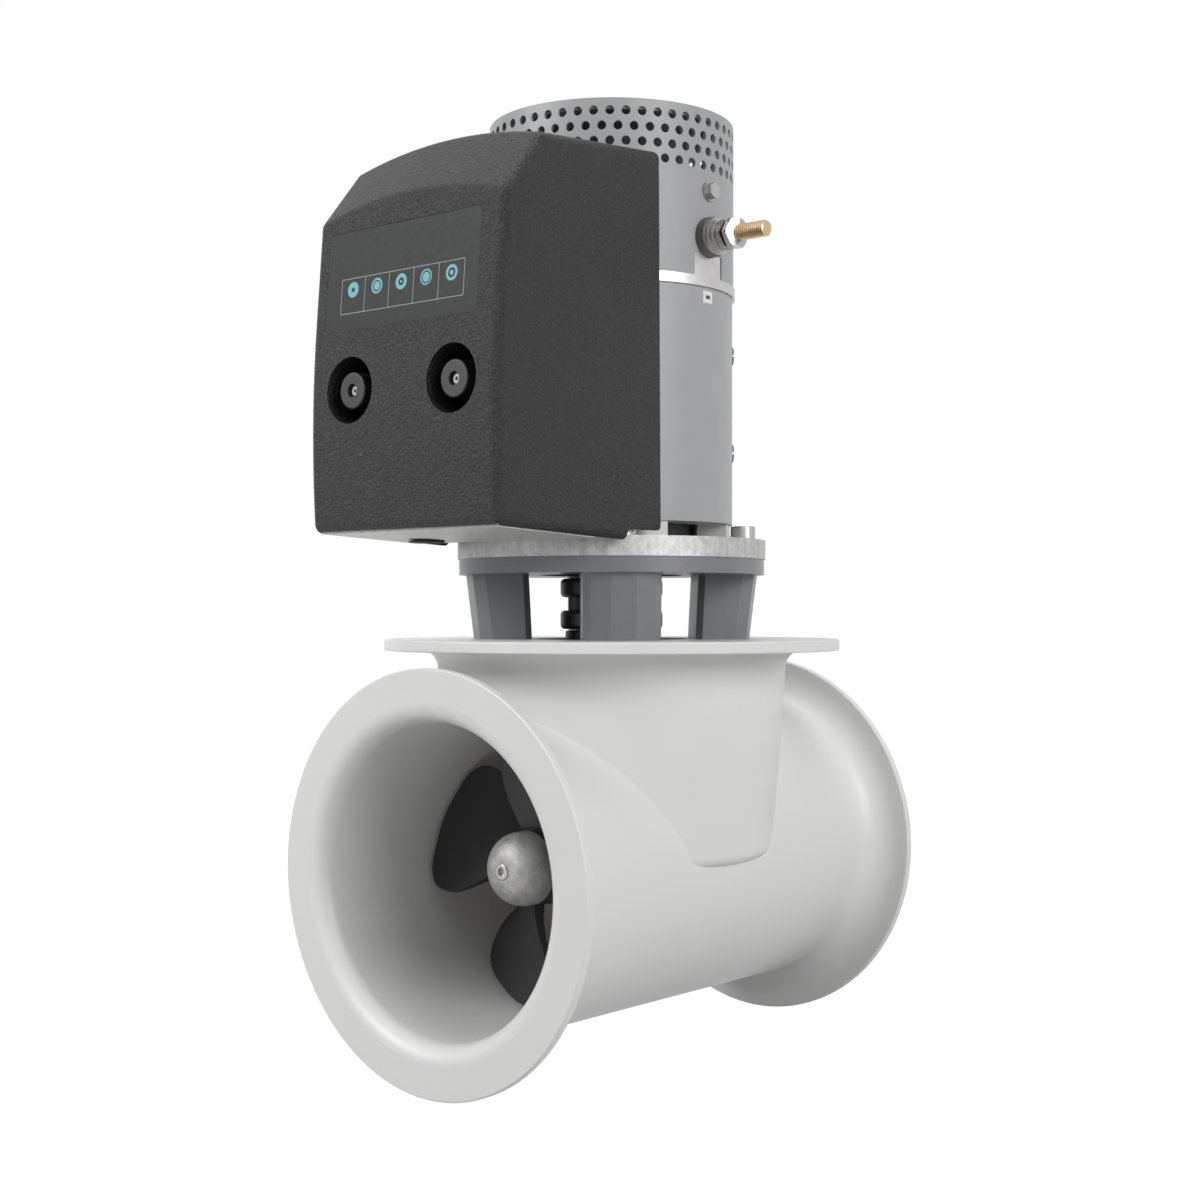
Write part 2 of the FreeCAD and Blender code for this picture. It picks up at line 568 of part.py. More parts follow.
def leg_screws():
    """Socket screws up through the leg's seat and the tunnel's crown into the clamp plate."""
    piece = Piece("leg_screws", height="-axis_depth")
    seat = "sqrt((seat_radius - saddle_plate)^2 - (leg_screw_across + leg_screw)^2)"
    tip = "sqrt(tube_radius^2 - leg_screw_across^2) + clamp_plate * 0.8"
    screw = piece.turn([("0", f"{seat} - leg_screw"), ("leg_screw * 0.75", f"{seat} - leg_screw",
                                                       "leg_screw / 12"),
                        ("leg_screw * 0.75", seat), ("leg_screw / 2", seat), ("leg_screw / 2", tip),
                        ("0", tip)],
                       at=("leg_screw_across", "0", "leg_screw_along"))
    socket = piece.sink(piece.outline(hexagon("leg_screw * 0.75"), plane="XY",
                                      at=("leg_screw_across", "-leg_screw_along", f"{seat} - leg_screw")),
                        "leg_screw / 2", other_way=True)
    piece.quarters([screw, socket])
    return piece


def rings(label, *profiles, about_tunnel=False):
    """Plain rings, each given as (inner radius, outer radius, near end, far end)."""
    piece = Piece(label, height="-axis_depth" if about_tunnel else "0")
    for inner, outer, near, far in profiles:
        piece.turn(collar(inner, outer, near, far), plane="XY" if about_tunnel else "XZ")
    return piece


def both_ends(inner, outer, near, far):
    """Two equal rings at either end of the tunnel's axis."""
    return (inner, outer, near, far), (inner, outer, f"-({far})", f"-({near})")


def shaft_bearings():
    inner = "drive_shaft / 2 + running_gap"
    return rings("shaft_bearings",
                 (inner, "pinion_pocket / 2", "pinion_pocket_top - bearing_width - axis_depth",
                  "pinion_pocket_top - axis_depth"),
                 (inner, "neck_seat / 2", "neck_top - neck_seat_depth",
                  "neck_top - neck_seat_depth + bearing_width"))


def shaft_seal():
    return rings("shaft_seal", ("drive_shaft / 2 + running_gap", "neck_seat / 2",
                                "neck_top - neck_seat_depth + bearing_width", "neck_top"))


def neck_cap():
    piece = Piece("neck_cap")
    piece.turn([("drive_shaft / 2 + 1", "neck_top"), ("neck_cap / 2", "neck_top"),
                ("neck_cap / 2", "neck_cap_top", "moulded_edge"), ("drive_shaft / 2 + 1", "neck_cap_top")])
    return piece


def propeller_bearings():
    return rings("propeller_bearings", *both_ends("propeller_shaft / 2 + running_gap", "barrel_bore / 2",
                                                  "barrel_half - seal_width - bearing_width",
                                                  "barrel_half - seal_width"), about_tunnel=True)


def propeller_seals():
    return rings("propeller_seals", *both_ends("propeller_shaft / 2 + running_gap", "barrel_bore / 2",
                                               "barrel_half - seal_width", "barrel_half"), about_tunnel=True)


def bearing_caps():
    return rings("bearing_caps", *both_ends("propeller_shaft / 2 + 1", "barrel_diameter / 2", "barrel_half",
                                            "barrel_half + cap_thickness"), about_tunnel=True)


# ---------------------------------------------------------------- bracket and adaptor plate
def motor_bracket():
    """Flange on four tapered, faceted legs."""
    piece = Piece("motor_bracket", turned=45)
    piece.turn(collar("bracket_opening / 2", "bracket_flange / 2", "leg_height", "bracket_top"))

    def section(heel, reach, height):
        step = "(leg_reach_top - leg_heel_top) / 10"
        return piece.outline([(reach, "-leg_facet"), (reach, "leg_facet"),
                              (f"{reach} - {step}", "leg_shoulder"),
                              (f"{reach} - 3 * {step}", "leg_half_width"),
                              (f"{heel} + {step}", "leg_half_width"), (heel, "leg_shoulder"),
                              (heel, "-leg_shoulder"), (f"{heel} + {step}", "-leg_half_width"),
                              (f"{reach} - 3 * {step}", "-leg_half_width"),
                              (f"{reach} - {step}", "-leg_shoulder")], plane="XY", at=("0", "0", height))

    foot = section("leg_heel_foot", "leg_reach_foot", "0")
    top = section("leg_heel_top", "leg_reach_top", "leg_height")
    leg = piece.body.newObject("PartDesign::AdditiveLoft", "Leg")
    leg.Profile = foot
    leg.Sections = [top]
    leg.Ruled = True
    piece.body.Tip = leg
    top_hole = piece.sink(piece.circles([("adaptor_bolt_circle / 2", "0", "bracket_bolt")],
                                        at=("0", "0", "bracket_top + 1")), "thread_depth + 1")
    foot_hole = piece.sink(piece.circles([("foot_bolt_circle / 2", "0", "bracket_bolt")],
                                         at=("0", "0", "-1")),
                           "thread_depth / 2 + 1", other_way=True)
    piece.around([leg, top_hole, foot_hole], "leg_count")
    return piece


def bolts(label, circle, seat, reach, downwards=False):
    """Hexagon-socket bolts on the diagonals; heads stand on `seat` and shanks end at `reach`."""
    piece = Piece(label, turned=45)
    crown = f"{seat} - bolt_head_height" if downwards else f"{seat} + bolt_head_height"
    bolt = piece.turn([("0", reach), ("bracket_bolt / 2", reach), ("bracket_bolt / 2", seat),
                       ("bolt_head / 2", seat), ("bolt_head / 2", crown, "bolt_head_height / 12"),
                       ("0", crown)],
                      at=(f"{circle} / 2", "0", "0"))
    socket = piece.sink(piece.outline(hexagon("bolt_head / 2"), plane="XY",
                                      at=(f"{circle} / 2", "0", crown)),
                        "bolt_head_height / 2", other_way=downwards)
    piece.around([bolt, socket], "leg_count")
    return piece


def foot_bolts():
    return bolts("bracket_foot_bolts", "foot_bolt_circle", "-plate_thickness", "thread_depth / 2 - 1",
                 downwards=True)


def adaptor_bolts():
    return bolts("adaptor_bolts", "adaptor_bolt_circle", "adaptor_top", "bracket_top - thread_depth + 1")


def adaptor_plate():
    """Thick round plate between the bracket and the motor."""
    piece = Piece("adaptor_plate")
    piece.turn(collar("adaptor_opening / 2", "adaptor_diameter / 2", "bracket_top", "adaptor_top"))
    screws = [(f"{side} * tongue_screw_across", "-tongue_screw_along", "small_screw") for side in (1, -1)]
    piece.sink(piece.circles(screws, at=("0", "0", "adaptor_top + 1")), "adaptor_thickness / 2 + 1")
    bolt = piece.sink(piece.circles([("adaptor_bolt_circle / 2 * cos(45)",
                                      "adaptor_bolt_circle / 2 * sin(45)",
                                      "bracket_bolt + 2 * neck_clearance")],
                                      at=("0", "0", "adaptor_top + 1")),
                      "adaptor_thickness + 2")
    motor = piece.turn([("0", "bracket_top - 1"), ("motor_screw + 1", "bracket_top - 1"),
                        ("motor_screw / 2", "bracket_top + motor_screw / 2"),
                        ("motor_screw / 2", "adaptor_top + 1"), ("0", "adaptor_top + 1")], cut=True,
                       at=("motor_screw_circle / 2 * cos(45)", "0", "motor_screw_circle / 2 * sin(45)"))
    piece.around([bolt, motor], "leg_count")
    return piece


# ---------------------------------------------------------------- motor, fixed pieces
def motor_screws():
    """Countersunk screws from under the adaptor plate up into the motor's feet."""
    piece = Piece("motor_screws", turned=45)
    head = "bracket_top + 0.5"
    screw = piece.turn([("0", head), ("motor_screw - 0.6", head),
                        ("motor_screw / 2", "bracket_top + motor_screw / 2"),
                        ("motor_screw / 2", "yoke_foot - 1"), ("0", "yoke_foot - 1")],
                       at=("motor_screw_circle / 2", "0", "0"))
    socket = piece.sink(piece.outline(hexagon("motor_screw / 2"), plane="XY",
                                      at=("motor_screw_circle / 2", "0", head)), "motor_screw / 3",
                                      other_way=True)
    piece.around([screw, socket], "leg_count")
    return piece


def drive_end_shield():
    """Light-metal end shield: a plate inside the motor's tube on four ring-segment feet."""
    piece = Piece("drive_end_shield", turned=45)
    piece.turn(collar("motor_shaft", "yoke_inner", "yoke_foot", "yoke_foot + shield_plate"))
    foot = piece.turn(collar("foot_inner / 2", "foot_outer / 2", "adaptor_top", "yoke_foot"),
                      angle="foot_angle")
    hole = piece.sink(piece.circles([("motor_screw_circle / 2", "0", "motor_screw")],
                                    at=("0", "0", "adaptor_top - 1")), "foot_height", other_way=True)
    piece.around([foot, hole], "leg_count")
    return piece


def bearing_neck():
    """Spigot of the motor in the adaptor plate's opening."""
    piece = Piece("bearing_neck")
    low = "bracket_top + adaptor_thickness / 3"
    piece.turn([("motor_shaft / 2 + 3", low), ("adaptor_opening / 2", low),
                ("adaptor_opening / 2", "adaptor_top"),
                ("neck_diameter / 2", "adaptor_top"), ("neck_diameter / 2", "yoke_foot"),
                ("motor_shaft / 2 + 3", "yoke_foot")])
    return piece


def motor_bearings():
    inner = "motor_shaft / 2 + running_gap"
    return rings("motor_bearings", (inner, "motor_shaft", "yoke_foot", "yoke_foot + shield_plate"),
                 (inner, "motor_shaft", "shell_top - lid_thickness - bearing_width",
                  "shell_top - lid_thickness"))


POLE_SCREW_ROWS = ("pole_screw_low", "pole_screw_high")


def pole_screw_profile():
    """Countersunk pole screw, along the radius: (distance from the axis, radius)."""
    return [("pole_reach + yoke_wall", "0"), ("pole_reach + yoke_wall", "pole_screw_head / 3"),
            ("yoke_diameter / 2 - yoke_wall / 2", "pole_screw_head / 3"),
            ("yoke_diameter / 2 - yoke_wall / 2", "pole_screw_head / 2"),
            ("yoke_diameter / 2 + pole_screw_proud", "pole_screw_head / 2", "pole_screw_proud / 2"),
            ("yoke_diameter / 2 + pole_screw_proud", "0")]


def yoke():
    """The motor's steel tube, with stepped holes for the pole screws."""
    piece = Piece("yoke", turned=45)
    piece.turn(collar("yoke_inner", "yoke_diameter / 2", "yoke_foot", "yoke_top"))
    holes = [piece.turn([("yoke_inner - 1", "0"), ("yoke_inner - 1", "pole_screw_head / 3"),
                         ("yoke_diameter / 2 - yoke_wall / 2", "pole_screw_head / 3"),
                         ("yoke_diameter / 2 - yoke_wall / 2", "pole_screw_head / 2"),
                         ("yoke_diameter / 2 + 1", "pole_screw_head / 2"), ("yoke_diameter / 2 + 1", "0")],
                        cut=True, about="H_Axis", at=("0", row, "0")) for row in POLE_SCREW_ROWS]
    piece.around(holes, "leg_count")
    return piece


def field_poles():
    piece = Piece("field_poles", turned=45)
    pole = piece.turn(collar("pole_reach", "yoke_inner", "core_low", "core_low + pole_length"),
                      angle="pole_angle")
    holes = [piece.turn([("pole_reach + yoke_wall", "0"), ("pole_reach + yoke_wall", "pole_screw_head / 3"),
                         ("yoke_inner + 1", "pole_screw_head / 3"), ("yoke_inner + 1", "0")],
                        cut=True, about="H_Axis", at=("0", row, "0")) for row in POLE_SCREW_ROWS]
    piece.around([pole] + holes, "leg_count")
    return piece


def pole_screws():
    piece = Piece("pole_screws", turned=45)
    screws = []
    for row in POLE_SCREW_ROWS:
        screws.append(piece.turn(pole_screw_profile(), about="H_Axis", at=("0", row, "0")))
        slot = piece.outline(rectangle("-pole_screw_head / 2", "-pole_screw_head / 14",
                                       "pole_screw_head / 2",
                                       "pole_screw_head / 14"), plane="YZ",
                             at=("0", row, "yoke_diameter / 2 + pole_screw_proud"))
        screws.append(piece.sink(slot, "pole_screw_proud"))
    piece.around(screws, "leg_count")
    return piece


def brush_ring():
    return rings("brush_ring", ("commutator / 2 + 8", "shell_inner", "brush_level", "brush_level + 4"))


def brushes():
    """Four carbon brushes on the ring, just clear of the commutator."""
    piece = Piece("brushes", turned=45)
    outline = piece.outline(rectangle("commutator / 2 + 0.3", "-commutator / 10", "commutator / 2 + 22",
                                      "commutator / 10"), plane="XY", at=("0", "0", "brush_level + 4"))
    piece.around([piece.raise_(outline, "commutator_length / 3")], "leg_count")
    return piece


def clamp_band():
    """Light band on top of the tube, with a tab up under the terminal."""
    piece = Piece("clamp_band")
    piece.turn(collar("shell_inner - 1", "shell_outer + band_proud", "yoke_top", "band_top"))
    piece.turn(collar("shell_inner", "shell_outer + band_proud / 3", "band_top", "band_top + tab_height"),
               angle="tab_angle")
    piece.sink(piece.circles([("0", "0", "insulator + 2 * stud_gap")], plane="YZ",
                             at=("0", "terminal_height", "shell_outer + 2 * band_proud")),
               "shell_wall + 4 * band_proud")
    return piece


VENT_ROWS = 4


def vent_hole(row, number):
    """A small hexagonal prism out along the radius; every second row is staggered by half a step."""
    height = value(f"shell_top - vent_top - {row} * vent_pitch")
    start = value("shell_inner - 2 * shell_wall")
    corner = value("vent_hole / sqrt(3)")
    corners = [Vector(start, corner * math.sin(math.pi / 3 * k), height + corner * math.cos(math.pi / 3 * k))
               for k in range(7)]
    prism = Part.Face(Part.makePolygon(corners)).extrude(Vector(value("5 * shell_wall"), 0, 0))
    prism.rotate(Vector(0, 0, 0), Vector(0, 0, 1), 360 / value("vent_count") * (number + row % 2 / 2))
    return prism


def vent_shell():
    """Thin shell round the brushes with four staggered rows of vent holes."""
    piece = Piece("shell_tube")
    piece.turn(collar("shell_inner", "shell_outer", "band_top", "shell_top"))
    piece.turn(collar("shell_inner - 1", "shell_outer + 1", "band_top - 1", "band_top + tab_height + 0.3"),
               angle="tab_angle + slit", cut=True, swing="slit / 2")

    def hole_through(height, radius):
        return piece.turn(rectangle("shell_inner - 2", "0", "shell_outer + 1", radius), cut=True,
                          about="H_Axis", at=("0", height, "0"))

    hole_through("terminal_height", "terminal_thread * 0.8")
    screw = hole_through("shell_screw_height", "small_screw / 2")
    piece.around([screw], "shell_screw_count")
    vents = doc.addObject("Part::Feature", "vent_holes")
    vents.Shape = Part.makeCompound([vent_hole(row, number) for row in range(VENT_ROWS)
                                     for number in range(int(value("vent_count")))])
    shell = doc.addObject("Part::Cut", "vent_shell")
    shell.Label = "vent_shell"
    shell.Base, shell.Tool = piece.body, vents
    return shell


def top_shield():
    """Lid inside the shell's rim, with the upper bearing's seat under it."""
    piece = Piece("top_shield")
    floor = "shell_top - lid_thickness"
    piece.turn([("0", floor), ("motor_shaft", floor), ("motor_shaft", f"{floor} - bearing_width"),
                ("motor_shaft + 4", f"{floor} - bearing_width"),
                ("motor_shaft + 4", f"{floor} - lid_thickness"),
                ("shell_inner", f"{floor} - lid_thickness"), ("shell_inner", "shell_top"),
                ("0", "shell_top")])
    return piece


def shell_screws():
    """Hexagon flange screws round the shell."""
    piece = Piece("shell_screws")
    flange = "small_screw * 0.3"
    screw = piece.turn([("shell_inner - 2", "0"), ("shell_inner - 2", "small_screw / 2"),
                        ("shell_outer", "small_screw / 2"), ("shell_outer", "shell_screw_flange / 2"),
                        (f"shell_outer + {flange}", "shell_screw_flange / 2"),
                        (f"shell_outer + {flange}", "0")],
                       about="H_Axis", at=("0", "shell_screw_height", "0"))
    head = piece.raise_(piece.outline(hexagon("shell_screw_key"), plane="YZ",
                                      at=("0", "shell_screw_height", f"shell_outer + {flange}")),
                                      "small_screw * 0.8")
    piece.around([screw, head], "shell_screw_count")
    return piece


# ---------------------------------------------------------------- terminal
WASHERS = (("terminal_washer * 0.54", "terminal_washer_thickness"),
           ("terminal_washer / 2", "terminal_washer_thickness"),
           ("terminal_washer * 0.43", "lock_washer_thickness"))


def along_terminal(piece, profile):
    return piece.turn(profile, about="H_Axis", at=("0", "terminal_height", "0"))


def insulator():
    piece = Piece("terminal_insulator")
    along_terminal(piece, [("shell_inner - 4", "terminal_thread / 2"),
                           ("shell_inner - 4", "terminal_thread * 0.8"),
                           ("shell_outer", "terminal_thread * 0.8"), ("shell_outer", "insulator / 2"),
                           ("shell_outer + insulator_thickness", "insulator / 2", "moulded_edge"),
                           ("shell_outer + insulator_thickness", "terminal_thread / 2")])
    return piece


def terminal_washers():
    piece = Piece("terminal_washers")
    start = "shell_outer + insulator_thickness"
    for radius, thickness in WASHERS:
        end = f"{start} + {thickness}"
        along_terminal(piece, [(start, "terminal_thread / 2"), (start, radius), (end, radius),
                               (end, "terminal_thread / 2")])
        start = end
    return piece


def terminal_nuts():
    """A thin nut and a full nut, locked against each other."""
    piece = Piece("terminal_nuts")
    start = "nut_foot"
    for height in ("thin_nut", "full_nut"):
        outline = piece.outline(hexagon("terminal_key"), plane="YZ", at=("0", "terminal_height", start))
        piece.raise_(outline, height)
        start = f"{start} + {height}"
    piece.turn([("shell_outer", "0"), ("shell_outer", "terminal_thread / 2"),
                ("terminal_tip", "terminal_thread / 2"),
                ("terminal_tip", "0")], cut=True, about="H_Axis", at=("0", "terminal_height", "0"))
    return piece


def terminal_stud():
    piece = Piece("terminal_stud")
    chamfer = "terminal_thread / 8"
    along_terminal(piece, [("shell_inner - 8", "0"), ("shell_inner - 8", "terminal_thread * 0.8"),
                           ("shell_inner - 4", "terminal_thread * 0.8"),
                           ("shell_inner - 4", "terminal_thread / 2"),
                           ("nut_end", "terminal_thread / 2"),
                           ("nut_end", "terminal_thread / 2 - thread_relief"),
                           ("nut_end + thread_relief", "terminal_thread / 2 - thread_relief"),
                           ("nut_end + thread_relief", "terminal_thread / 2"),
                           (f"terminal_tip - {chamfer}", "terminal_thread / 2"),
                           ("terminal_tip", f"terminal_thread / 2 - {chamfer}"), ("terminal_tip", "0")])
    return piece


# ---------------------------------------------------------------- control bracket and what it carries
def floor_at(place):
    """Underside of the sloping floor at a distance along Y: level with the cover's side walls."""
    return f"(cover_foot_front + (({place}) - cover_front_foot) * floor_slope)"


def control_bracket():
    """Folded sheet: a sloping floor that closes the cover, a tongue on the adaptor plate, an upright."""
    piece = Piece("control_bracket")
    front = "cover_front_foot + cover_wall + sheet_gap"
    floor = piece.outline([(front, floor_at(front)), ("step_back", floor_at("step_back")),
                           ("step_back", "adaptor_top + sheet"),
                           ("step_back - 2 * sheet", "adaptor_top + sheet"),
                           (front, f"{floor_at(front)} + sheet")], plane="YZ")
    piece.raise_(floor, "cover_width - 2 * cover_wall - 2 * sheet_gap", both_ways=True)
    tongue = piece.outline(rectangle("step_back", "adaptor_top", "tongue_back", "adaptor_top + sheet"),
                           plane="YZ")
    piece.raise_(tongue, "2 * tongue_half", both_ways=True)
    upright = piece.outline(rectangle("-upright_half", "adaptor_top + sheet", "upright_half", "upright_top",
                                      "8 * sheet"),
                            at=("0", "0", "-upright_back"))
    piece.raise_(upright, "sheet")
    screws = [(f"{side} * tongue_screw_across", "-tongue_screw_along", "small_screw + 2 * stud_gap")
              for side in (1, -1)]
    piece.sink(piece.circles(screws, at=("0", "0", "adaptor_top + sheet + 1")), "sheet + 2")
    piece.sink(piece.circles([("-grommet_across", "-grommet_along", "grommet * 0.75")],
                             at=("0", "0", "adaptor_top + 9")),
               "20")
    return piece


def bracket_screws():
    piece = Piece("bracket_screws")
    for side in (1, -1):
        piece.turn([("0", "adaptor_top - adaptor_thickness / 3"),
                    ("small_screw / 2", "adaptor_top - adaptor_thickness / 3"),
                    ("small_screw / 2", "adaptor_top + sheet"), ("small_screw * 0.9", "adaptor_top + sheet"),
                    ("small_screw * 0.9", "adaptor_top + sheet + small_screw * 0.6", "small_screw / 8"),
                    ("0", "adaptor_top + sheet + small_screw * 0.6")],
                   at=(f"{side} * tongue_screw_across", "0", "tongue_screw_along"))
    return piece


def cable_grommet():
    """Rubber grommet in the bracket's floor, where the cables come in."""
    piece = Piece("cable_grommet")
    rest = f"{floor_at('-grommet_along')} + grommet / 2 * floor_slope - 0.1"
    neck = "grommet * 0.375 - 0.2"
    piece.turn([("grommet / 4", f"{rest} - sheet / 2"), ("grommet / 2", f"{rest} - sheet / 2", "sheet / 4"),
                ("grommet / 2", rest), (neck, rest), (neck, f"{rest} + 3 * sheet"),
                ("grommet / 4", f"{rest} + 3 * sheet")],
               at=("-grommet_across", "0", "grommet_along"))
    return piece


def cover_studs():
    """Two studs forward from the bracket's upright; the cover's knobs turn on them."""
    piece = Piece("cover_studs")
    for side in (1, -1):
        piece.turn([("0", "upright_front"), ("stud", "upright_front"), ("stud", "upright_front - stud"),
                    ("stud / 2", "upright_front - stud"), ("stud / 2", "well_floor - 2 * stud", "stud / 8"),
                    ("0", "well_floor - 2 * stud")],
                   plane="XY", at=(f"{side} * well_spacing / 2", "0", "well_height"))
    return piece


def contactors():
    """Two contactor cans, each on a base against the bracket's upright."""
    piece = Piece("contactors")
    low = "adaptor_top + contactor_lift"
    centre = "upright_front - contactor / 2 - contactor_base"
    for side in (1, -1):
        middle = f"{side} * contactor_spacing / 2"
        base = piece.outline(rectangle(f"{middle} - contactor / 3", centre, f"{middle} + contactor / 3",
                                       "upright_front"), plane="XY", at=("0", "0", low))
        piece.raise_(base, "contactor_height")
        crown = f"{low} + contactor_height"
        piece.turn([("0", low), ("contactor / 2", low, "contactor_round"),
                    ("contactor / 2", crown, "contactor_round"), ("0", crown)],
                   at=(middle, "0", f"-({centre})"))
    return piece


def control_module():
    """Electronics box with cooling ribs down its front."""
    piece = Piece("control_module")
    low = "upright_top - module_height - module_drop"
    box = piece.outline(rectangle("-module_width / 2", "upright_front - module_depth", "module_width / 2",
                                  "upright_front"), plane="XY", at=("0", "0", low))
    piece.raise_(box, "module_height")
    for rib in range(-3, 4):
        groove = piece.outline(rectangle(f"{rib} * module_width / 8 - module_groove / 2",
                                         "upright_front - module_depth - 1",
                                         f"{rib} * module_width / 8 + module_groove / 2",
                                         "upright_front - module_depth * 0.8"),
                               plane="XY", at=("0", "0", low))
        piece.sink(groove, "module_height", other_way=True)
    return piece


def bus_bars():
    """Copper bars from the contactors up to the control module."""
    piece = Piece("bus_bars")
    foot = "adaptor_top + contactor_lift + contactor_height"
    for side in (1, -1):
        middle = f"{side} * contactor_spacing / 2"
        bar = piece.outline(rectangle(f"{middle} - bus_bar_width / 2",
                                      "upright_front - contactor / 2 - bus_bar_thickness / 2",
                                      f"{middle} + bus_bar_width / 2",
                                      "upright_front - contactor / 2 + bus_bar_thickness / 2"),
                            plane="XY", at=("0", "0", foot))
        piece.raise_(bar, f"upright_top - module_height - module_drop - ({foot})")
    return piece


# ---------------------------------------------------------------- drive line
def motor_shaft():
    piece = Piece("motor_shaft")
    piece.turn(collar("0", "motor_shaft / 2", "coupling_foot + coupling_half + spider_gap + coupling_web",
                      "shell_top - lid_thickness - 1"))
    return piece


def armature_core():
    return rings("armature_core",
                 ("motor_shaft / 2", "pole_reach - armature_gap", "core_low", "core_low + pole_length"))


def armature_windings():
    return rings("armature_windings",
                 ("motor_shaft / 2", "winding_bulge / 2", "core_low - winding_length", "core_low"),
                 ("motor_shaft / 2", "winding_bulge / 2", "core_low + pole_length",
                  "core_low + pole_length + winding_length"))


def commutator():
    return rings("commutator", ("motor_shaft / 2", "commutator / 2", "commutator_low",
                                "commutator_low + commutator_length"))


def coupling_upper():
    piece = Piece("coupling_upper")
    low = "coupling_foot + coupling_half + spider_gap"
    piece.turn([("0", low), ("coupling_flange / 2", low, "coupling_round"),
                ("coupling_flange / 2", "coupling_top", "coupling_round"),
                ("coupling_hub / 2", "coupling_top"), ("coupling_hub / 2", "bracket_top"),
                ("motor_shaft / 2", "bracket_top"), ("motor_shaft / 2", f"{low} + coupling_web"),
                ("0", f"{low} + coupling_web")])
    return piece


def coupling_middle():
    """Flexible middle, with six pins that show round its waist."""
    piece = Piece("coupling_middle")
    low = "coupling_foot + coupling_half"
    piece.turn(collar("0", "spider_diameter / 2 - 4", low, f"{low} + spider_gap"))
    disc = piece.circles([("spider_diameter / 2 - spider_pin / 2", "0", "spider_pin")], at=("0", "0", low))
    pin = piece.raise_(disc, "spider_gap")
    piece.around([pin], "spider_pin_count")
    return piece


def coupling_lower():
    piece = Piece("coupling_lower")
    top = "coupling_foot + coupling_half"
    piece.turn([("drive_shaft / 2", "coupling_foot"),
                ("coupling_flange / 2", "coupling_foot", "coupling_round"),
                ("coupling_flange / 2", top, "coupling_round"), ("0", top), ("0", f"{top} - coupling_web"),
                ("drive_shaft / 2", f"{top} - coupling_web")])
    return piece


def drive_shaft():
    """Vertical shaft from the coupling down to the pinion's spigot."""
    piece = Piece("drive_shaft")
    shoulder = "pinion_pocket_top - bearing_width - axis_depth"
    foot, head = "spigot_end - axis_depth", "coupling_foot + coupling_half - coupling_web"
    piece.turn([("0", foot), ("pinion_spigot / 2", foot), ("pinion_spigot / 2", shoulder),
                ("drive_shaft / 2", shoulder), ("drive_shaft / 2", head), ("0", head)])
    return piece


# Tooth proportions: height above and below the pitch cone in modules, half widths in pitches.
ADDENDUM, DEDENDUM = 0.75, 1.05
ROOT_SHARE, CREST_SHARE = 0.27, 0.105
ROOT_LAP = 0.05


def bevel_teeth(count, mate_count, hub_radius, back, bore_radius):
    """A straight bevel gear about +Z with its apex at the origin, teeth towards the apex.

    Tooth flanks are flat and taper to the apex; the hub goes on behind the teeth up to `back`.
    """
    module, face = value("tooth_module"), value("tooth_face")
    cone = math.atan2(count, mate_count)
    outer = module * count / 2 / math.sin(cone)
    shrink = (outer - face) / outer

    def at_heel(height, half_width):
        """(distance from the axis, height, angle) of a point `height` above the pitch cone."""
        across = outer * math.sin(cone) + height * math.cos(cone)
        return across, outer * math.cos(cone) - height * math.sin(cone), half_width / across

    addendum, dedendum, pitch = ADDENDUM * module, DEDENDUM * module, math.pi * module
    root, crest = at_heel(-dedendum, ROOT_SHARE * pitch), at_heel(addendum, CREST_SHARE * pitch)

    def section(scale):
        corners = [(root, -1), (crest, -1), (crest, 1), (root, 1), (root, -1)]
        return Part.makePolygon([Vector(across * math.cos(side * angle), across * math.sin(side * angle),
                                        height) * scale for (across, height, angle), side in corners])

    tooth = Part.makeLoft([section(1), section(shrink)], True, True)
    across, height = root[0], root[1]
    profile = [(bore_radius, shrink * height), (shrink * across + ROOT_LAP, shrink * height),
               (across + ROOT_LAP, height), (across, height + module), (hub_radius, height + module),
               (hub_radius, back), (bore_radius, back)]
    wire = Part.makePolygon([Vector(x, 0, z) for x, z in profile + profile[:1]])
    blank = Part.Face(wire).revolve(Vector(0, 0, 0), Vector(0, 0, 1), 360)
    teeth = []
    for number in range(int(count)):
        copy = tooth.copy()
        copy.rotate(Vector(0, 0, 0), Vector(0, 0, 1), 360 * number / count)
        teeth.append(copy)
    return blank.fuse(teeth).removeSplitter()


TUNNEL_AXIS = Placement(Vector(0, 0, -value("axis_depth")), Rotation())


def feature(label, shape, placement):
    """A Part::Feature in its place on the tunnel's axis."""
    made = doc.addObject("Part::Feature", label)
    made.Label = label
    made.Shape = shape
    made.Placement = placement
    return made


def pinion():
    back = value("pinion_pocket_top - bearing_width - axial_gap")
    gear = bevel_teeth(value("pinion_teeth"), value("gear_teeth"), value("drive_shaft") / 2 + 2, back,
                       value("pinion_spigot") / 2)
    return feature("pinion", gear, TUNNEL_AXIS)


# ---------------------------------------------------------------- propellers
SIDES = (("front", -1), ("back", 1))


def gear_shaft(name, side):
    """Propeller shaft in one piece with its bevel gear; a gap of the gear faces up to the pinion."""
    radius, end = value("propeller_shaft") / 2, value("hub_start + hub_length + propeller_shaft / 2")
    back = value("barrel_half - seal_width - bearing_width - axial_gap")
    gear = bevel_teeth(value("gear_teeth"), value("pinion_teeth"), radius + 4, back, 0)
    pitch = 360 / value("gear_teeth")
    upright = 90 if side < 0 else 270
    gear.rotate(Vector(0, 0, 0), Vector(0, 0, 1), (upright - pitch / 2) % pitch)
    shaft = Part.makeCylinder(radius, end - back + 1, Vector(0, 0, back - 1))
    bore = Part.makeCylinder(value("small_screw") / 2, radius * 2, Vector(0, 0, end - radius * 2))
    shape = gear.fuse(shaft).cut(bore).removeSplitter()
    axis = Rotation(Vector(1, 0, 0), -90 * side)
    return feature(f"gear_shaft_{name}", shape, Placement(Vector(0, 0, -value("axis_depth")), axis))


BLADE_SECTIONS = 6
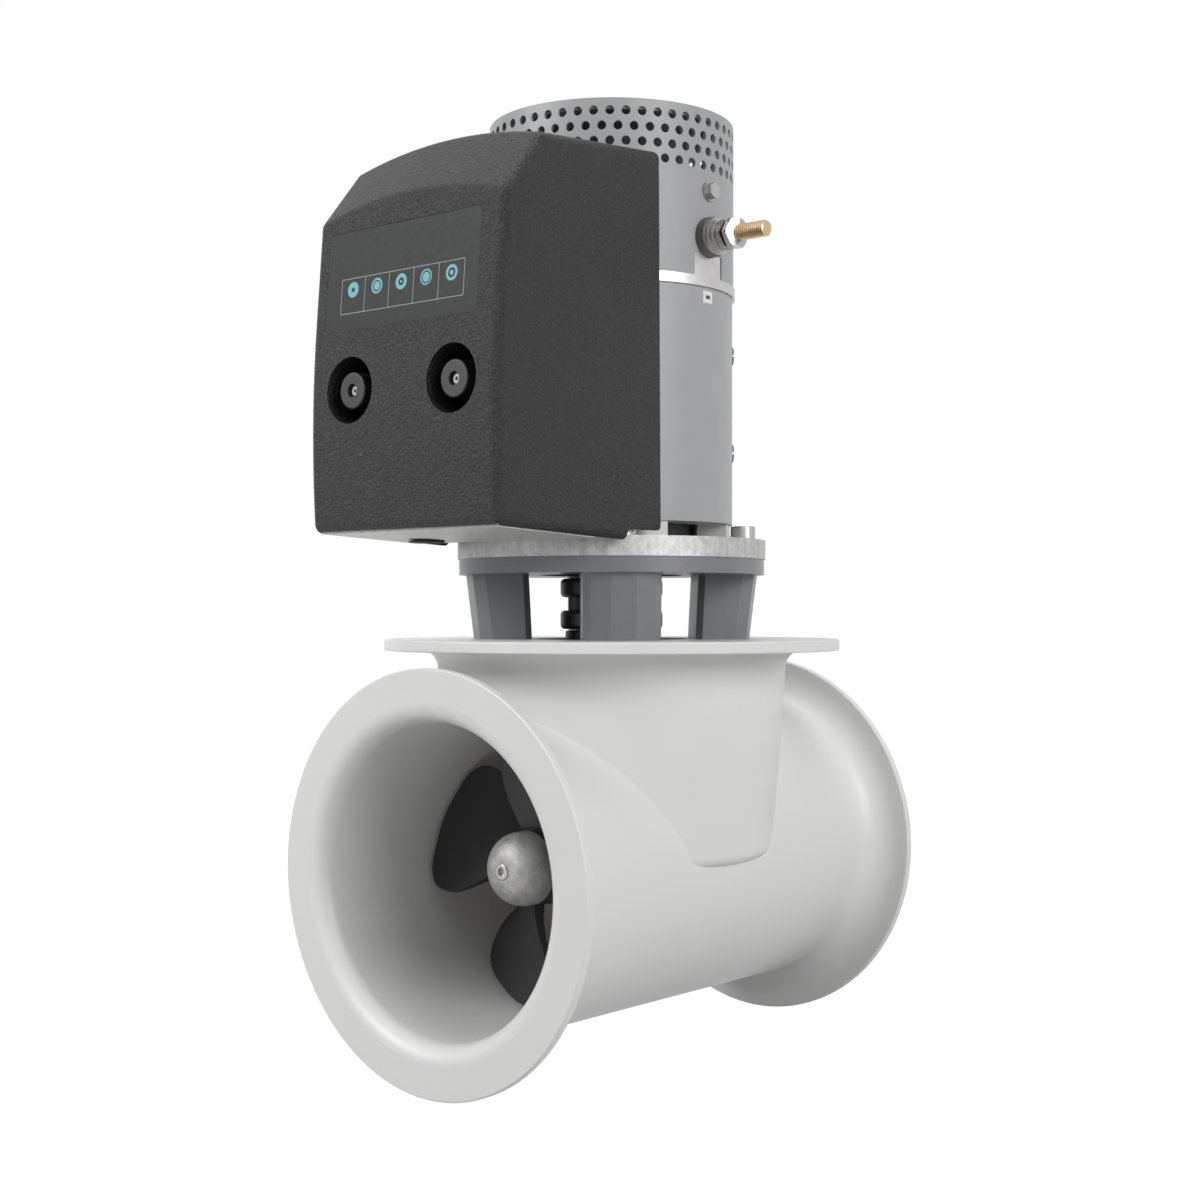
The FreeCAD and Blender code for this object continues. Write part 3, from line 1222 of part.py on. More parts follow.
# Half width of a blade, as a share of the greatest, at each share of the way out to its tip.
PADDLE = ((0.62, 0.2), (0.9, 0.44), (1, 0.67), (0.95, 0.82), (0.79, 0.91), (0.45, 0.968))


def blade(hand):
    """One blade up along +Z, in the middle of the hub.

    A strip of lens sections twists to the pitch; its outline, narrow at the root and opening like a
    paddle, is cut out of it square to the blade's own face.
    """
    tip, root = value("blade_tip"), value("hub_nose") / 2 - 3
    root_half, full_half = value("blade_root_chord") / 2, value("blade_chord") / 2
    thin, pitch = value("blade_tip_thickness"), value("blade_pitch") / (2 * math.pi)

    def turned(along, off, reach, twist):
        return Vector(hand * (along * math.cos(twist) - off * math.sin(twist)),
                      along * math.sin(twist) + off * math.cos(twist), reach)

    sections = []
    for number in range(BLADE_SECTIONS):
        share = number / (BLADE_SECTIONS - 1)
        reach = root + (tip + 2 - root) * share
        thick = value("blade_root_thickness") * (1 - share) + 2 * thin * share
        twist = math.atan(pitch / max(reach, root + 6))
        half = full_half + 4
        rows = []
        for side in (1, -1):
            arc = [(-half, thin / 2), (-half / 2, thick * 0.4), (0, thick / 2), (half / 2, thick * 0.4),
                   (half, thin / 2)]
            curve = Part.BSplineCurve()
            curve.interpolate([turned(along, side * off, reach, twist) for along, off in arc[::side]])
            rows.append(curve)
        left = Part.LineSegment(rows[0].EndPoint, rows[1].StartPoint)
        right = Part.LineSegment(rows[1].EndPoint, rows[0].StartPoint)
        sections.append(Part.Wire([line.toShape() for line in (rows[0], left, rows[1], right)]))
    strip = Part.makeLoft(sections, True, False)

    lean = math.atan(pitch / (0.7 * tip))
    span = tip - root
    half_outline = [(root_half, 0)] + [(share * full_half, out) for share, out in PADDLE]
    points = [(-along, share) for along, share in half_outline] + [(0, 1)] + half_outline[::-1]
    edge = Part.BSplineCurve()
    edge.interpolate([turned(along, -span, root + share * span, lean) for along, share in points])
    foot = Part.LineSegment(edge.EndPoint, edge.StartPoint)
    face = Part.Face(Part.Wire([edge.toShape(), foot.toShape()]))
    through = turned(0, 2 * span, 0, lean)
    return strip.common(face.extrude(through))


def propeller(name, side):
    """Tapered hub with its blades; the two propellers are of opposite hands."""
    start, length = value("hub_start"), value("hub_length")
    hub = Part.makeCone(value("hub_diameter") / 2, value("hub_nose") / 2, length, Vector(0, 0, start))
    hub = hub.cut(Part.makeCylinder(value("propeller_shaft") / 2, length, Vector(0, 0, start)))
    hub.rotate(Vector(0, 0, 0), Vector(1, 0, 0), -90 * side)
    first = blade(-side)
    first.translate(Vector(0, side * (start + length / 2), 0))
    blades = []
    for number in range(int(value("blade_count"))):
        one = first.copy()
        turn = value("blade_lead") + 360 * number / value("blade_count")
        one.rotate(Vector(0, 0, 0), Vector(0, 1, 0), turn)
        blades.append(one)
    return feature(f"propeller_{name}", hub.fuse(blades), TUNNEL_AXIS)


def anode(name, side):
    """Zinc dome over the end of the shaft."""
    piece = Piece(f"anode_{name}", height="-axis_depth")
    start, end = "hub_start + hub_length", "hub_start + hub_length + propeller_shaft / 2"
    piece.turn([("propeller_shaft / 2", f"{side} * ({start})"),
                ("anode_diameter / 2", f"{side} * ({start})"),
                ("anode_diameter / 2", f"{side} * anode_tip", "anode_round"),
                ("anode_screw_head / 2", f"{side} * anode_tip"),
                ("anode_screw_head / 2", f"{side} * (anode_tip - anode_screw_seat)"),
                ("small_screw / 2", f"{side} * (anode_tip - anode_screw_seat)"),
                ("small_screw / 2", f"{side} * ({end})"),
                ("propeller_shaft / 2", f"{side} * ({end})")], plane="XY")
    return piece


def anode_screw(name, side):
    """Socket screw that holds the anode on the shaft."""
    piece = Piece(f"anode_screw_{name}", height="-axis_depth")
    head, tip = f"{side} * (anode_tip + anode_screw_proud)", f"{side} * (hub_start + hub_length)"
    seat = f"{side} * (anode_tip - anode_screw_seat)"
    piece.turn([("0", tip), ("small_screw / 2", tip), ("small_screw / 2", seat),
                ("anode_screw_head / 2", seat), ("anode_screw_head / 2", head, "0.8"), ("0", head)],
               plane="XY")
    piece.sink(piece.outline(hexagon("anode_screw_head / 2"), at=("0", "0", f"-({head})")),
               "small_screw / 2",
               other_way=side > 0)
    return piece


# ---------------------------------------------------------------- control cover and its knobs
def cover_form(label, inset, foot_drop, back_shift):
    """The cover's moulded form: bowed front, chamfer and roof arched about an axis far below."""
    piece = Piece(label)
    head_room = "cover_roof + 30"
    lean = "(cover_front_top - cover_front) / (cover_chamfer_low - cover_bow_height)"
    side = piece.outline([(f"cover_front_foot + {inset}", f"cover_foot_front - {foot_drop}"),
                          (f"cover_front + {inset}", "cover_bow_height", "cover_bow"),
                          (f"cover_front_top + {inset} + {lean} * ({head_room} - cover_chamfer_low)",
                           head_room),
                          (f"cover_back_top + {back_shift}", head_room),
                          (f"cover_back_foot + {back_shift}", f"cover_foot_back - {foot_drop}",
                           "cover_round / 2"),
                          (f"cover_notch + {back_shift} / 2", f"cover_foot_back - {foot_drop}"),
                          (f"cover_notch + {back_shift} / 2", f"cover_foot_low - {foot_drop}",
                           "cover_round * 0.8")],
                         plane="YZ")
    piece.raise_(side, f"cover_width - 2 * {inset}", both_ways=True)
    slope = "(cover_chamfer_top - cover_chamfer_low) / (cover_chamfer_back - cover_front_top)"
    ahead = "4 * cover_round"
    rise = "crown_radius / 2"
    above = f"crown_radius - {inset}"
    piece.turn([(f"cover_front_top + {inset} - {ahead}", f"{above} - {ahead} * {slope}"),
                (f"cover_chamfer_back + {inset} / 2", f"{above} + cover_chamfer_top - cover_chamfer_low"),
                ("0", f"{above} + cover_roof - cover_chamfer_low + (cover_roof - cover_chamfer_top) / 2"),
                ("0", f"{above} + {rise}"), (f"cover_front_top + {inset} - {ahead}", f"{above} + {rise}")],
               cut=True, about="H_Axis", plane="YZ", at=("0", "crown_axis", "0"), angle="46")
    return piece


def moulded_edge_of_cover(edge):
    """True for the edges of the cover's front, chamfer, roof and sloping foot."""
    box, half = edge.BoundBox, value("cover_width") / 2
    if box.Center.y > value("cover_notch") - 2:
        return False
    if box.XLength < 0.1:
        return abs(abs(box.Center.x) - half) < 0.1
    return box.XLength > half and (box.ZMax < value("cover_foot_front") + 2
                                   or box.ZMin > value("cover_chamfer_low") - 20)


def cover():
    """Moulded shell, open behind and below, with two wells for its knobs."""
    outer = cover_form("cover_outside", "0", "0", "0")
    outer.soften("cover_round", moulded_edge_of_cover)
    inner = cover_form("cover_inside", "cover_wall", "30", "50")
    ahead = ("0", "0", "10 - cover_front")
    wells = [(f"{side} * well_spacing / 2", "well_height") for side in (1, -1)]
    outer.sink(outer.circles([well + ("well_diameter",) for well in wells], plane="XZ", at=ahead),
               "well_floor - cover_front + 10")
    outer.sink(outer.circles([well + ("knob_shank + 2 * running_gap",) for well in wells], plane="XZ",
                             at=ahead),
               "well_floor - cover_front + 11 + cover_wall")
    outer.sink(outer.circles([("0", "0", "2 * (shell_outer + motor_gap)")],
                             at=("0", "0", "cover_roof + 30")),
               "cover_roof + 30")
    inner.sink(inner.circles([well + ("well_diameter + 2 * cover_wall",) for well in wells], plane="XZ",
                             at=ahead),
               "well_floor - cover_front + 10 + cover_wall")
    shell = doc.addObject("Part::Cut", "cover")
    shell.Label = "cover"
    shell.Base, shell.Tool = outer.body, inner.body
    return shell


def knob(name, side):
    """Quarter-turn knob in a well of the cover; its hollow shank slips over a stud."""
    piece = Piece(f"knob_{name}")
    place = (f"{side} * well_spacing / 2", "0", "well_height")
    base = "well_floor - axial_gap"
    back = "well_floor + cover_wall + axial_gap"
    piece.turn([("stud / 2 + stud_gap", f"{back} + 3"), ("knob_shank * 0.7", f"{back} + 3"),
                ("knob_shank * 0.7", back), ("knob_shank / 2", back), ("knob_shank / 2", base),
                ("knob_disc / 2", base),
                ("knob_disc / 2", "knob_face", "1"), ("knob_dimple / 2", "knob_face"),
                ("knob_dimple / 2", "knob_face + knob_dimple_depth"), ("0", "knob_face + knob_dimple_depth"),
                ("0", "well_floor - 2 * stud - 2"), ("stud / 2 + stud_gap", "well_floor - 2 * stud - 2")],
               plane="XY", at=place)
    reach, thick = "knob_bar / 2", "knob_bar_width / 2"
    for end in (1, -1):
        bar = piece.outline(rectangle(f"{end} * knob_disc / 3", f"-{thick}", f"{end} * {reach}", thick),
                            plane="XZ", at=(place[0], "well_height", f"-({base})"))
        piece.raise_(bar, "knob_bar_depth")
    return piece


# ---------------------------------------------------------------- build, check and write
def build():
    """Every sub-part, as document objects whose Label is the sub-part's name."""
    made = [tunnel(), leg_gasket(), gear_housing(), leg_clamp(), leg_screws(), shaft_bearings(),
            shaft_seal(),
            neck_cap(), propeller_bearings(), propeller_seals(), bearing_caps(), motor_bracket(),
            foot_bolts(),
            adaptor_plate(), adaptor_bolts(), motor_screws(), drive_end_shield(), bearing_neck(),
            motor_bearings(),
            yoke(), field_poles(), pole_screws(), brush_ring(), brushes(), clamp_band(), vent_shell(),
            top_shield(),
            shell_screws(), insulator(), terminal_stud(), terminal_washers(), terminal_nuts(),
            control_bracket(),
            bracket_screws(), cable_grommet(), cover_studs(), contactors(), control_module(), bus_bars(),
            motor_shaft(), armature_core(), armature_windings(), commutator(), coupling_upper(),
            coupling_middle(),
            coupling_lower(), drive_shaft(), pinion(), cover(), knob("left", -1), knob("right", 1)]
    for name, side in SIDES:
        made += [gear_shaft(name, side), propeller(name, side), anode(name, side), anode_screw(name, side)]
    return [item.body if isinstance(item, Piece) else item for item in made]


def check(parts):
    for item in doc.Objects:
        if "Invalid" in item.State or "Error" in item.State:
            raise RuntimeError(f"{item.Label} ({item.Name}) did not compute: {item.State}")
    for part in parts:
        if part.Shape.isNull() or not part.Shape.isValid() or not part.Shape.Solids:
            raise RuntimeError(f"{part.Label} has no valid solid")


parts = build()
doc.recompute()
check(parts)
os.makedirs("parts", exist_ok=True)
for part in parts:
    part.Shape.exportStep(f"parts/{part.Label}.step")
    print(f"{part.Label:22s} {len(part.Shape.Solids):3d} solids {part.Shape.Volume / 1000:9.2f} cm3")
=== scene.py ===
"""Bow thruster: flanged white tunnel, twin propellers, motor bracket, upright motor, black control cover.

Everything is in metres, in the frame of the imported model: +Z up the motor, +Y along the tunnel.
"""
import math

import bmesh
import bpy
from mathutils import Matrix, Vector


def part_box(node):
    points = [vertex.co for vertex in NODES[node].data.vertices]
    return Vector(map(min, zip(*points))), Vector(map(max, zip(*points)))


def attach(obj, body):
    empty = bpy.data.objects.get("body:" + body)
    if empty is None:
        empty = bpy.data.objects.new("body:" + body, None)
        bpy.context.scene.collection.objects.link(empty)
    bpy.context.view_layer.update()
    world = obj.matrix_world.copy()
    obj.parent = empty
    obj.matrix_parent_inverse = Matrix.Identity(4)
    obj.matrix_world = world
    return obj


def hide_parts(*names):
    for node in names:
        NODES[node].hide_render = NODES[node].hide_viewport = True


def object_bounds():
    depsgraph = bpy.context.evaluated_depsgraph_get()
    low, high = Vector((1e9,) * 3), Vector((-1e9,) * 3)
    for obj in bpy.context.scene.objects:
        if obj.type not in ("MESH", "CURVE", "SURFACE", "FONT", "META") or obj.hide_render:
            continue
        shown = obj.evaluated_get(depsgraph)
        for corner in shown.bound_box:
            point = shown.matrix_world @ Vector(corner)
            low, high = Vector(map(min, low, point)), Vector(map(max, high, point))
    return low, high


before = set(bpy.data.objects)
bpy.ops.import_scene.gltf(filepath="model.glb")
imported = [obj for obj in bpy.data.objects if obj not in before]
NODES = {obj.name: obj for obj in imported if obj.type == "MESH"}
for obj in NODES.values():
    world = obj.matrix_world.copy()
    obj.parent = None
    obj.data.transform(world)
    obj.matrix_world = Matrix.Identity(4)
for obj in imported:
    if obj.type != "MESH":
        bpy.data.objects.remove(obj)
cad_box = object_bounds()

# The label sheet on the cover's front: across and up, in metres.
LABEL_BEHIND = -0.165
LABEL_MIDDLE, LABEL_HALF = (-0.003, 0.2105), (0.063, 0.0295)
CELLS_MIDDLE, CELLS_HALF = (-0.002, 0.2015), (0.051, 0.0105)
CELL_COUNT, LINE = 5, 0.00045
DOT_HEIGHT, DOT_RADIUS = 0.2050, 0.0046
# Each round mark has one dark ring, from the second share of its radius out to the first.
DOT_RINGS = [(0.30, 0.0), (0.72, 0.55), (0.50, 0.18), (0.80, 0.62), (0.62, 0.30)]
# The small white sticker on the motor tube: along the tunnel and up.
STICKER_MIDDLE, STICKER_HALF = (0.0004, 0.2113), (0.0046, 0.0037)
STICKER_BAR = (0.0021, 0.0011)
# The white ring in the middle of each knob.
KNOB_RING, KNOB_RING_BORE = 0.0026, 0.0013
KNOB_PLACE = (0.042, -0.18, 0.1461)
# The knob's flat face: its radius, and where it starts and is full along the tunnel; then the ring's.
KNOB_FACE, KNOB_FACE_FROM, KNOB_FACE_FULL = 0.0108, -0.1835, -0.1836
KNOB_RING_FROM, KNOB_RING_FULL = -0.178, -0.179


# ---------------------------------------------------------------- finishes
class Amount:
    """A number or a colour that comes out of a shader node; arithmetic on it adds Math nodes."""

    def __init__(self, finish, socket):
        self.finish, self.socket = finish, socket

    def math(self, operation, first, second=0.0, clamp=False):
        settings = {"operation": operation, "use_clamp": clamp}
        return self.finish.node("ShaderNodeMath", settings, first, second)

    def __add__(self, other):
        return self.math("ADD", self, other)

    def __sub__(self, other):
        return self.math("SUBTRACT", self, other)

    def __rsub__(self, other):
        return self.math("SUBTRACT", other, self)

    def __mul__(self, other):
        return self.math("MULTIPLY", self, other)

    def __pow__(self, other):
        return self.math("POWER", self, other)

    __radd__, __rmul__ = __add__, __mul__

    def size(self):
        return self.math("ABSOLUTE", self)

    def larger(self, other):
        return self.math("MAXIMUM", self, other)

    def clamped(self):
        return self.math("ADD", self, 0.0, clamp=True)

    def between(self, low, high):
        """0 up to low, 1 from high on, smooth in between; the other way round if high is under low."""
        settings = {"interpolation_type": "SMOOTHSTEP"}
        return self.finish.node("ShaderNodeMapRange", settings, self, low, high)


class Finish:
    """A procedural material round one Principled shader."""

    def __init__(self, name, roughness=0.5, metallic=0.0):
        self.material = bpy.data.materials.new(name)
        self.material.use_nodes = True
        self.tree = self.material.node_tree
        self.shader = self.tree.nodes["Principled BSDF"]
        self.feed("Roughness", roughness)
        self.feed("Metallic", metallic)

    def node(self, kind, settings, *values, output=0):
        """Adds a node: settings first, then one value, link or None for each input in turn."""
        made = self.tree.nodes.new(kind)
        for key, setting in settings.items():
            setattr(made, key, setting)
        for socket, item in zip(made.inputs, values):
            self.join(item, socket)
        return Amount(self, made.outputs[output])

    def join(self, item, socket):
        if isinstance(item, Amount):
            self.tree.links.new(item.socket, socket)
        elif item is not None:
            if hasattr(socket.default_value, "__len__") and len(socket.default_value) == 4:
                item = (*item[:3], 1.0)
            socket.default_value = item

    def feed(self, name, item):
        self.join(item, self.shader.inputs[name])

    def place(self):
        return self.node("ShaderNodeTexCoord", {}, output=3)

    def placed(self, scale):
        return self.node("ShaderNodeMapping", {}, self.place(), None, None, scale)

    def noise(self, size, detail=3.0, roughness=0.55, at=None):
        """Cloudy pattern, 0 to 1, with lumps of about `size` metres."""
        return self.node("ShaderNodeTexNoise", {}, at or self.place(), None, 1 / size, detail, roughness)

    def cells(self, size, at):
        """Rounded cells of about `size` metres, 0 in the middle of each."""
        return self.node("ShaderNodeTexVoronoi", {"feature": "SMOOTH_F1"}, at, None, 1 / size)

    def mix(self, share, first, second):
        """Colour `first` where share is 0 and `second` where it is 1."""
        made = self.tree.nodes.new("ShaderNodeMix")
        made.data_type = "RGBA"
        for index, item in ((0, share), (6, first), (7, second)):
            self.join(item, made.inputs[index])
        return Amount(self, made.outputs[2])

    def axis(self, number):
        return self.node("ShaderNodeSeparateXYZ", {}, self.place(), output=number)

    def inside(self, first, second, middle, half, corner, soft=0.0002):
        """1 inside a rectangle with rounded corners, on two axes; 0 outside."""
        past_first = ((first - middle[0]).size() - (half[0] - corner)).larger(0.0)
        past_second = ((second - middle[1]).size() - (half[1] - corner)).larger(0.0)
        far = (past_first ** 2.0 + past_second ** 2.0) ** 0.5
        return far.between(corner + soft, corner - soft)

    def disc(self, first, second, middle, radius, soft=0.0001):
        far = ((first - middle[0]) ** 2.0 + (second - middle[1]) ** 2.0) ** 0.5
        return far.between(radius + soft, radius - soft)

    def relief(self, height, depth, under=None):
        """Relief of `depth` metres for a height of 0 to 1, over the relief `under`."""
        made = self.tree.nodes.new("ShaderNodeBump")
        made.inputs["Strength"].default_value = 1.0
        made.inputs["Distance"].default_value = depth
        self.join(height, made.inputs["Height"])
        self.join(under, made.inputs["Normal"])
        return Amount(self, made.outputs["Normal"])


def grey(level):
    return (level, level, level)


def white_gel_coat():
    look = Finish("white_gel_coat", roughness=0.38)
    cloud = look.noise(0.06, 4)
    look.feed("Base Color", look.mix(cloud, (0.78, 0.78, 0.775), (0.82, 0.82, 0.815)))
    look.feed("Roughness", 0.34 + 0.14 * look.noise(0.012, 4))
    ripple = look.relief(look.noise(0.05, 2), 0.0005)
    look.feed("Normal", look.relief(look.noise(0.0016, 2), 0.00003, ripple))
    return look.material


def cast_paint(name, low, high, grain=0.0022, depth=0.00012, roughness=0.42):
    """Paint over a sand casting: an orange-peel grain, cloudy in colour."""
    look = Finish(name)
    cloud = look.noise(0.02, 5)
    look.feed("Base Color", look.mix(cloud, low, high))
    look.feed("Roughness", roughness + 0.2 * look.noise(0.005, 3))
    look.feed("Normal", look.relief(look.noise(grain, 3), depth))
    return look.material


def spangled_zinc(name="spangled_zinc", dark=0.24, light=0.60):
    """Hot-dip zinc: cloudy patches, broken up by fine upright streaks."""
    look = Finish(name)
    streaks = look.noise(0.006, 5, 0.7, at=look.placed(scale=(1.0, 1.0, 0.22)))
    cloud = look.noise(0.0045, 6, 0.7)
    share = ((0.55 * streaks + 0.62 * cloud - 0.30) * 2.1).clamped()
    look.feed("Base Color", look.mix(share, grey(dark), (light, light, light * 0.985)))
    look.feed("Metallic", 0.35 + 0.4 * cloud)
    look.feed("Roughness", 0.36 + 0.25 * look.noise(0.003, 4))
    look.feed("Normal", look.relief(look.noise(0.0012, 3), 0.00004))
    return look.material


# Brushed metal: how fine its lines are, how much they are squeezed on each axis, its darker patches.
BRUSHED_LINE, BRUSHED_SQUEEZE, BRUSHED_DULL = 0.0006, (1, 1, 12), 0.72


def bare_metal(name, colour, roughness):
    look = Finish(name, metallic=1.0)
    lines = look.noise(BRUSHED_LINE, 3, at=look.placed(scale=BRUSHED_SQUEEZE))
    dull = tuple(channel * BRUSHED_DULL for channel in colour)
    look.feed("Base Color", look.mix(look.noise(0.006, 4), dull, colour))
    look.feed("Roughness", roughness + 0.18 * lines)
    look.feed("Normal", look.relief(lines, 0.00002))
    return look.material


# The cover's grain: its twist, its two sizes of lump and its depth, in metres.
TWIST_SCALE, TWIST = 400.0, 0.0018
PEBBLE, LUMP, GRAIN_DEPTH = 0.0020, 0.0013, 0.0013
# The corners of the label sheet and of the cells' frame, outside and inside, and the frame's soft rim.
LABEL_CORNER, FRAME_CORNER, FRAME_BORE_CORNER, FRAME_SOFT = 0.003, 0.0006, 0.0004, 0.00012
BAR_SOFT = 0.0001


def leather_grain():
    """Black moulding with a coarse leather grain, and a smooth plain label sheet on its front."""
    look = Finish("leather_grain", roughness=0.6)
    push = look.node("ShaderNodeTexNoise", {}, look.place(), None, TWIST_SCALE, 2.0, output=1)
    twist = look.node("ShaderNodeVectorMath", {"operation": "MULTIPLY_ADD"}, push, grey(TWIST), look.place())
    pebbles = look.cells(PEBBLE, twist)
    lumps = look.noise(LUMP, 2, 0.5, at=twist)
    across, along, up = look.axis(0), look.axis(1), look.axis(2)
    front = along.between(LABEL_BEHIND + 0.001, LABEL_BEHIND)
    label = look.inside(across, up, LABEL_MIDDLE, LABEL_HALF, LABEL_CORNER) * front
    outline = look.inside(across, up, CELLS_MIDDLE, CELLS_HALF, FRAME_CORNER, FRAME_SOFT)
    bore = (CELLS_HALF[0] - LINE, CELLS_HALF[1] - LINE)
    hollow = look.inside(across, up, CELLS_MIDDLE, bore, FRAME_BORE_CORNER, FRAME_SOFT)
    lines, dots, rings = outline * (1 - hollow), 0.0, 0.0
    step = 2 * CELLS_HALF[0] / CELL_COUNT
    for number in range(CELL_COUNT):
        middle = CELLS_MIDDLE[0] + (number - (CELL_COUNT - 1) / 2) * step
        if number:
            off_bar = (across - (middle - step / 2)).size()
            bar = off_bar.between(LINE / 2 + BAR_SOFT, LINE / 2 - BAR_SOFT)
            lines = lines.larger(bar * outline)
        centre = (middle, DOT_HEIGHT)
        outer, inner = (DOT_RADIUS * share for share in DOT_RINGS[number])
        dots = look.disc(across, up, centre, DOT_RADIUS).larger(dots)
        ring = look.disc(across, up, centre, outer) * (1 - look.disc(across, up, centre, inner))
        rings = ring.larger(rings)
    black = look.mix(look.noise(0.03, 3), (0.011, 0.011, 0.0113), (0.019, 0.019, 0.0192))
    black = look.mix(label, black, (0.0125, 0.0138, 0.0132))
    black = look.mix(lines * label, black, grey(0.34))
    black = look.mix(dots * label * (1 - rings), black, (0.20, 0.50, 0.58))
    look.feed("Base Color", black)
    look.feed("Roughness", 0.36 + 0.14 * look.noise(0.004, 2) + 0.14 * label)
    height = (0.6 * pebbles + 0.9 * lumps) * (1 - 0.96 * label)
    look.feed("Normal", look.relief(height, GRAIN_DEPTH))
    look.feed("Specular IOR Level", 0.30)
    return look.material


def smooth_plastic(name, colour, roughness=0.4, grain=0.0007, depth=0.00002):
    look = Finish(name)
    paler = tuple(channel * 1.25 + 0.004 for channel in colour)
    look.feed("Base Color", look.mix(look.noise(0.02, 3), colour, paler))
    look.feed("Roughness", roughness + 0.12 * look.noise(0.004, 3))
    look.feed("Normal", look.relief(look.noise(grain, 2), depth))
    return look.material


def motor_tube_paint():
    """The motor's grey, with a small white sticker under the band."""
    finish = Finish("motor_tube_paint")
    cloud = finish.noise(0.03, 4)
    paint = finish.mix(cloud, (0.35, 0.362, 0.372), (0.41, 0.42, 0.43))
    across, along, up = finish.axis(0), finish.axis(1), finish.axis(2)
    outer = across.between(0.05, 0.06)
    sticker = finish.inside(along, up, STICKER_MIDDLE, STICKER_HALF, 0.0004, 0.0001) * outer
    bar = finish.inside(along, up, STICKER_MIDDLE, STICKER_BAR, 0.0002, 0.0001)
    paint = finish.mix(sticker, paint, finish.mix(bar, grey(0.82), grey(0.02)))
    finish.feed("Base Color", paint)
    finish.feed("Roughness", 0.33 + 0.14 * finish.noise(0.005, 3))
    finish.feed("Normal", finish.relief(finish.noise(0.0013, 3), 0.00003))
    return finish.material


def knob_plastic():
    """Black knob with a white ring at the bottom of its recess."""
    finish = Finish("knob_plastic")
    across, along, up = finish.axis(0).size(), finish.axis(1), finish.axis(2)
    middle = (KNOB_PLACE[0], KNOB_PLACE[2])
    bore = finish.disc(across, up, middle, KNOB_RING_BORE)
    ring = finish.disc(across, up, middle, KNOB_RING) * (1 - bore)
    ring = ring * along.between(KNOB_RING_FROM, KNOB_RING_FULL)
    face = finish.disc(across, up, middle, KNOB_FACE) * along.between(KNOB_FACE_FROM, KNOB_FACE_FULL)
    black = finish.mix(finish.noise(0.01, 3), grey(0.012), grey(0.017))
    black = finish.mix(face, black, grey(0.0125))
    finish.feed("Base Color", finish.mix(ring, black, grey(0.78)))
    finish.feed("Roughness", 0.42 + 0.12 * finish.noise(0.003, 3))
    finish.feed("Normal", finish.relief(finish.noise(0.0008, 2), 0.00003))
    return finish.material


def pitted_zinc():
    """Cast anode: dull, mottled and slightly pitted."""
    look = Finish("pitted_zinc", metallic=0.55)
    cloud = look.noise(0.008, 6, 0.7)
    look.feed("Base Color", look.mix(cloud, (0.13, 0.13, 0.128), (0.66, 0.655, 0.64)))
    look.feed("Roughness", 0.42 + 0.25 * look.noise(0.003, 3))
    look.feed("Normal", look.relief(look.noise(0.0022, 5), 0.00025))
    return look.material


FINISHES = {
    "white_gel_coat": white_gel_coat(),
    "bracket_paint": cast_paint("bracket_paint", (0.155, 0.163, 0.177), (0.225, 0.236, 0.25), roughness=0.26),
    "motor_paint": cast_paint("motor_paint", (0.34, 0.352, 0.362), (0.40, 0.41, 0.42), 0.0014, 0.00003, 0.34),
    "spangled_zinc": spangled_zinc(),
    "sheet_zinc": spangled_zinc("sheet_zinc", 0.40, 0.68),
    "cast_light": cast_paint("cast_light", (0.60, 0.60, 0.60), (0.74, 0.74, 0.73), 0.0012, 0.00008, 0.35),
    "stainless": bare_metal("stainless", (0.50, 0.49, 0.475), 0.17),
    "dark_steel": bare_metal("dark_steel", (0.20, 0.20, 0.21), 0.35),
    "bright_band": bare_metal("bright_band", (0.60, 0.595, 0.58), 0.34),
    "bronze": bare_metal("bronze", (0.55, 0.38, 0.20), 0.35),
    "brass": bare_metal("brass", (0.66, 0.50, 0.33), 0.27),
    "copper": bare_metal("copper", (0.72, 0.36, 0.22), 0.3),
    "leather_grain": leather_grain(),
    "black_paint": smooth_plastic("black_paint", (0.016, 0.016, 0.017), 0.38),
    "propeller_composite": smooth_plastic("propeller_composite", (0.022, 0.022, 0.024), 0.32, 0.0009,
                                          0.00004),
    "knob_plastic": knob_plastic(),
    "module_plastic": smooth_plastic("module_plastic", (0.014, 0.014, 0.015), 0.42),
    "motor_tube_paint": motor_tube_paint(),
    "pitted_zinc": pitted_zinc(),
    "rubber": smooth_plastic("rubber", (0.018, 0.018, 0.018), 0.62),
    "coupling_insert": smooth_plastic("coupling_insert", (0.14, 0.14, 0.14), 0.5),
    "olive_plastic": smooth_plastic("olive_plastic", (0.105, 0.098, 0.078), 0.4),
    "pale_plastic": smooth_plastic("pale_plastic", (0.55, 0.53, 0.46), 0.45),
    "carbon": smooth_plastic("carbon", (0.02, 0.02, 0.02), 0.55),
}

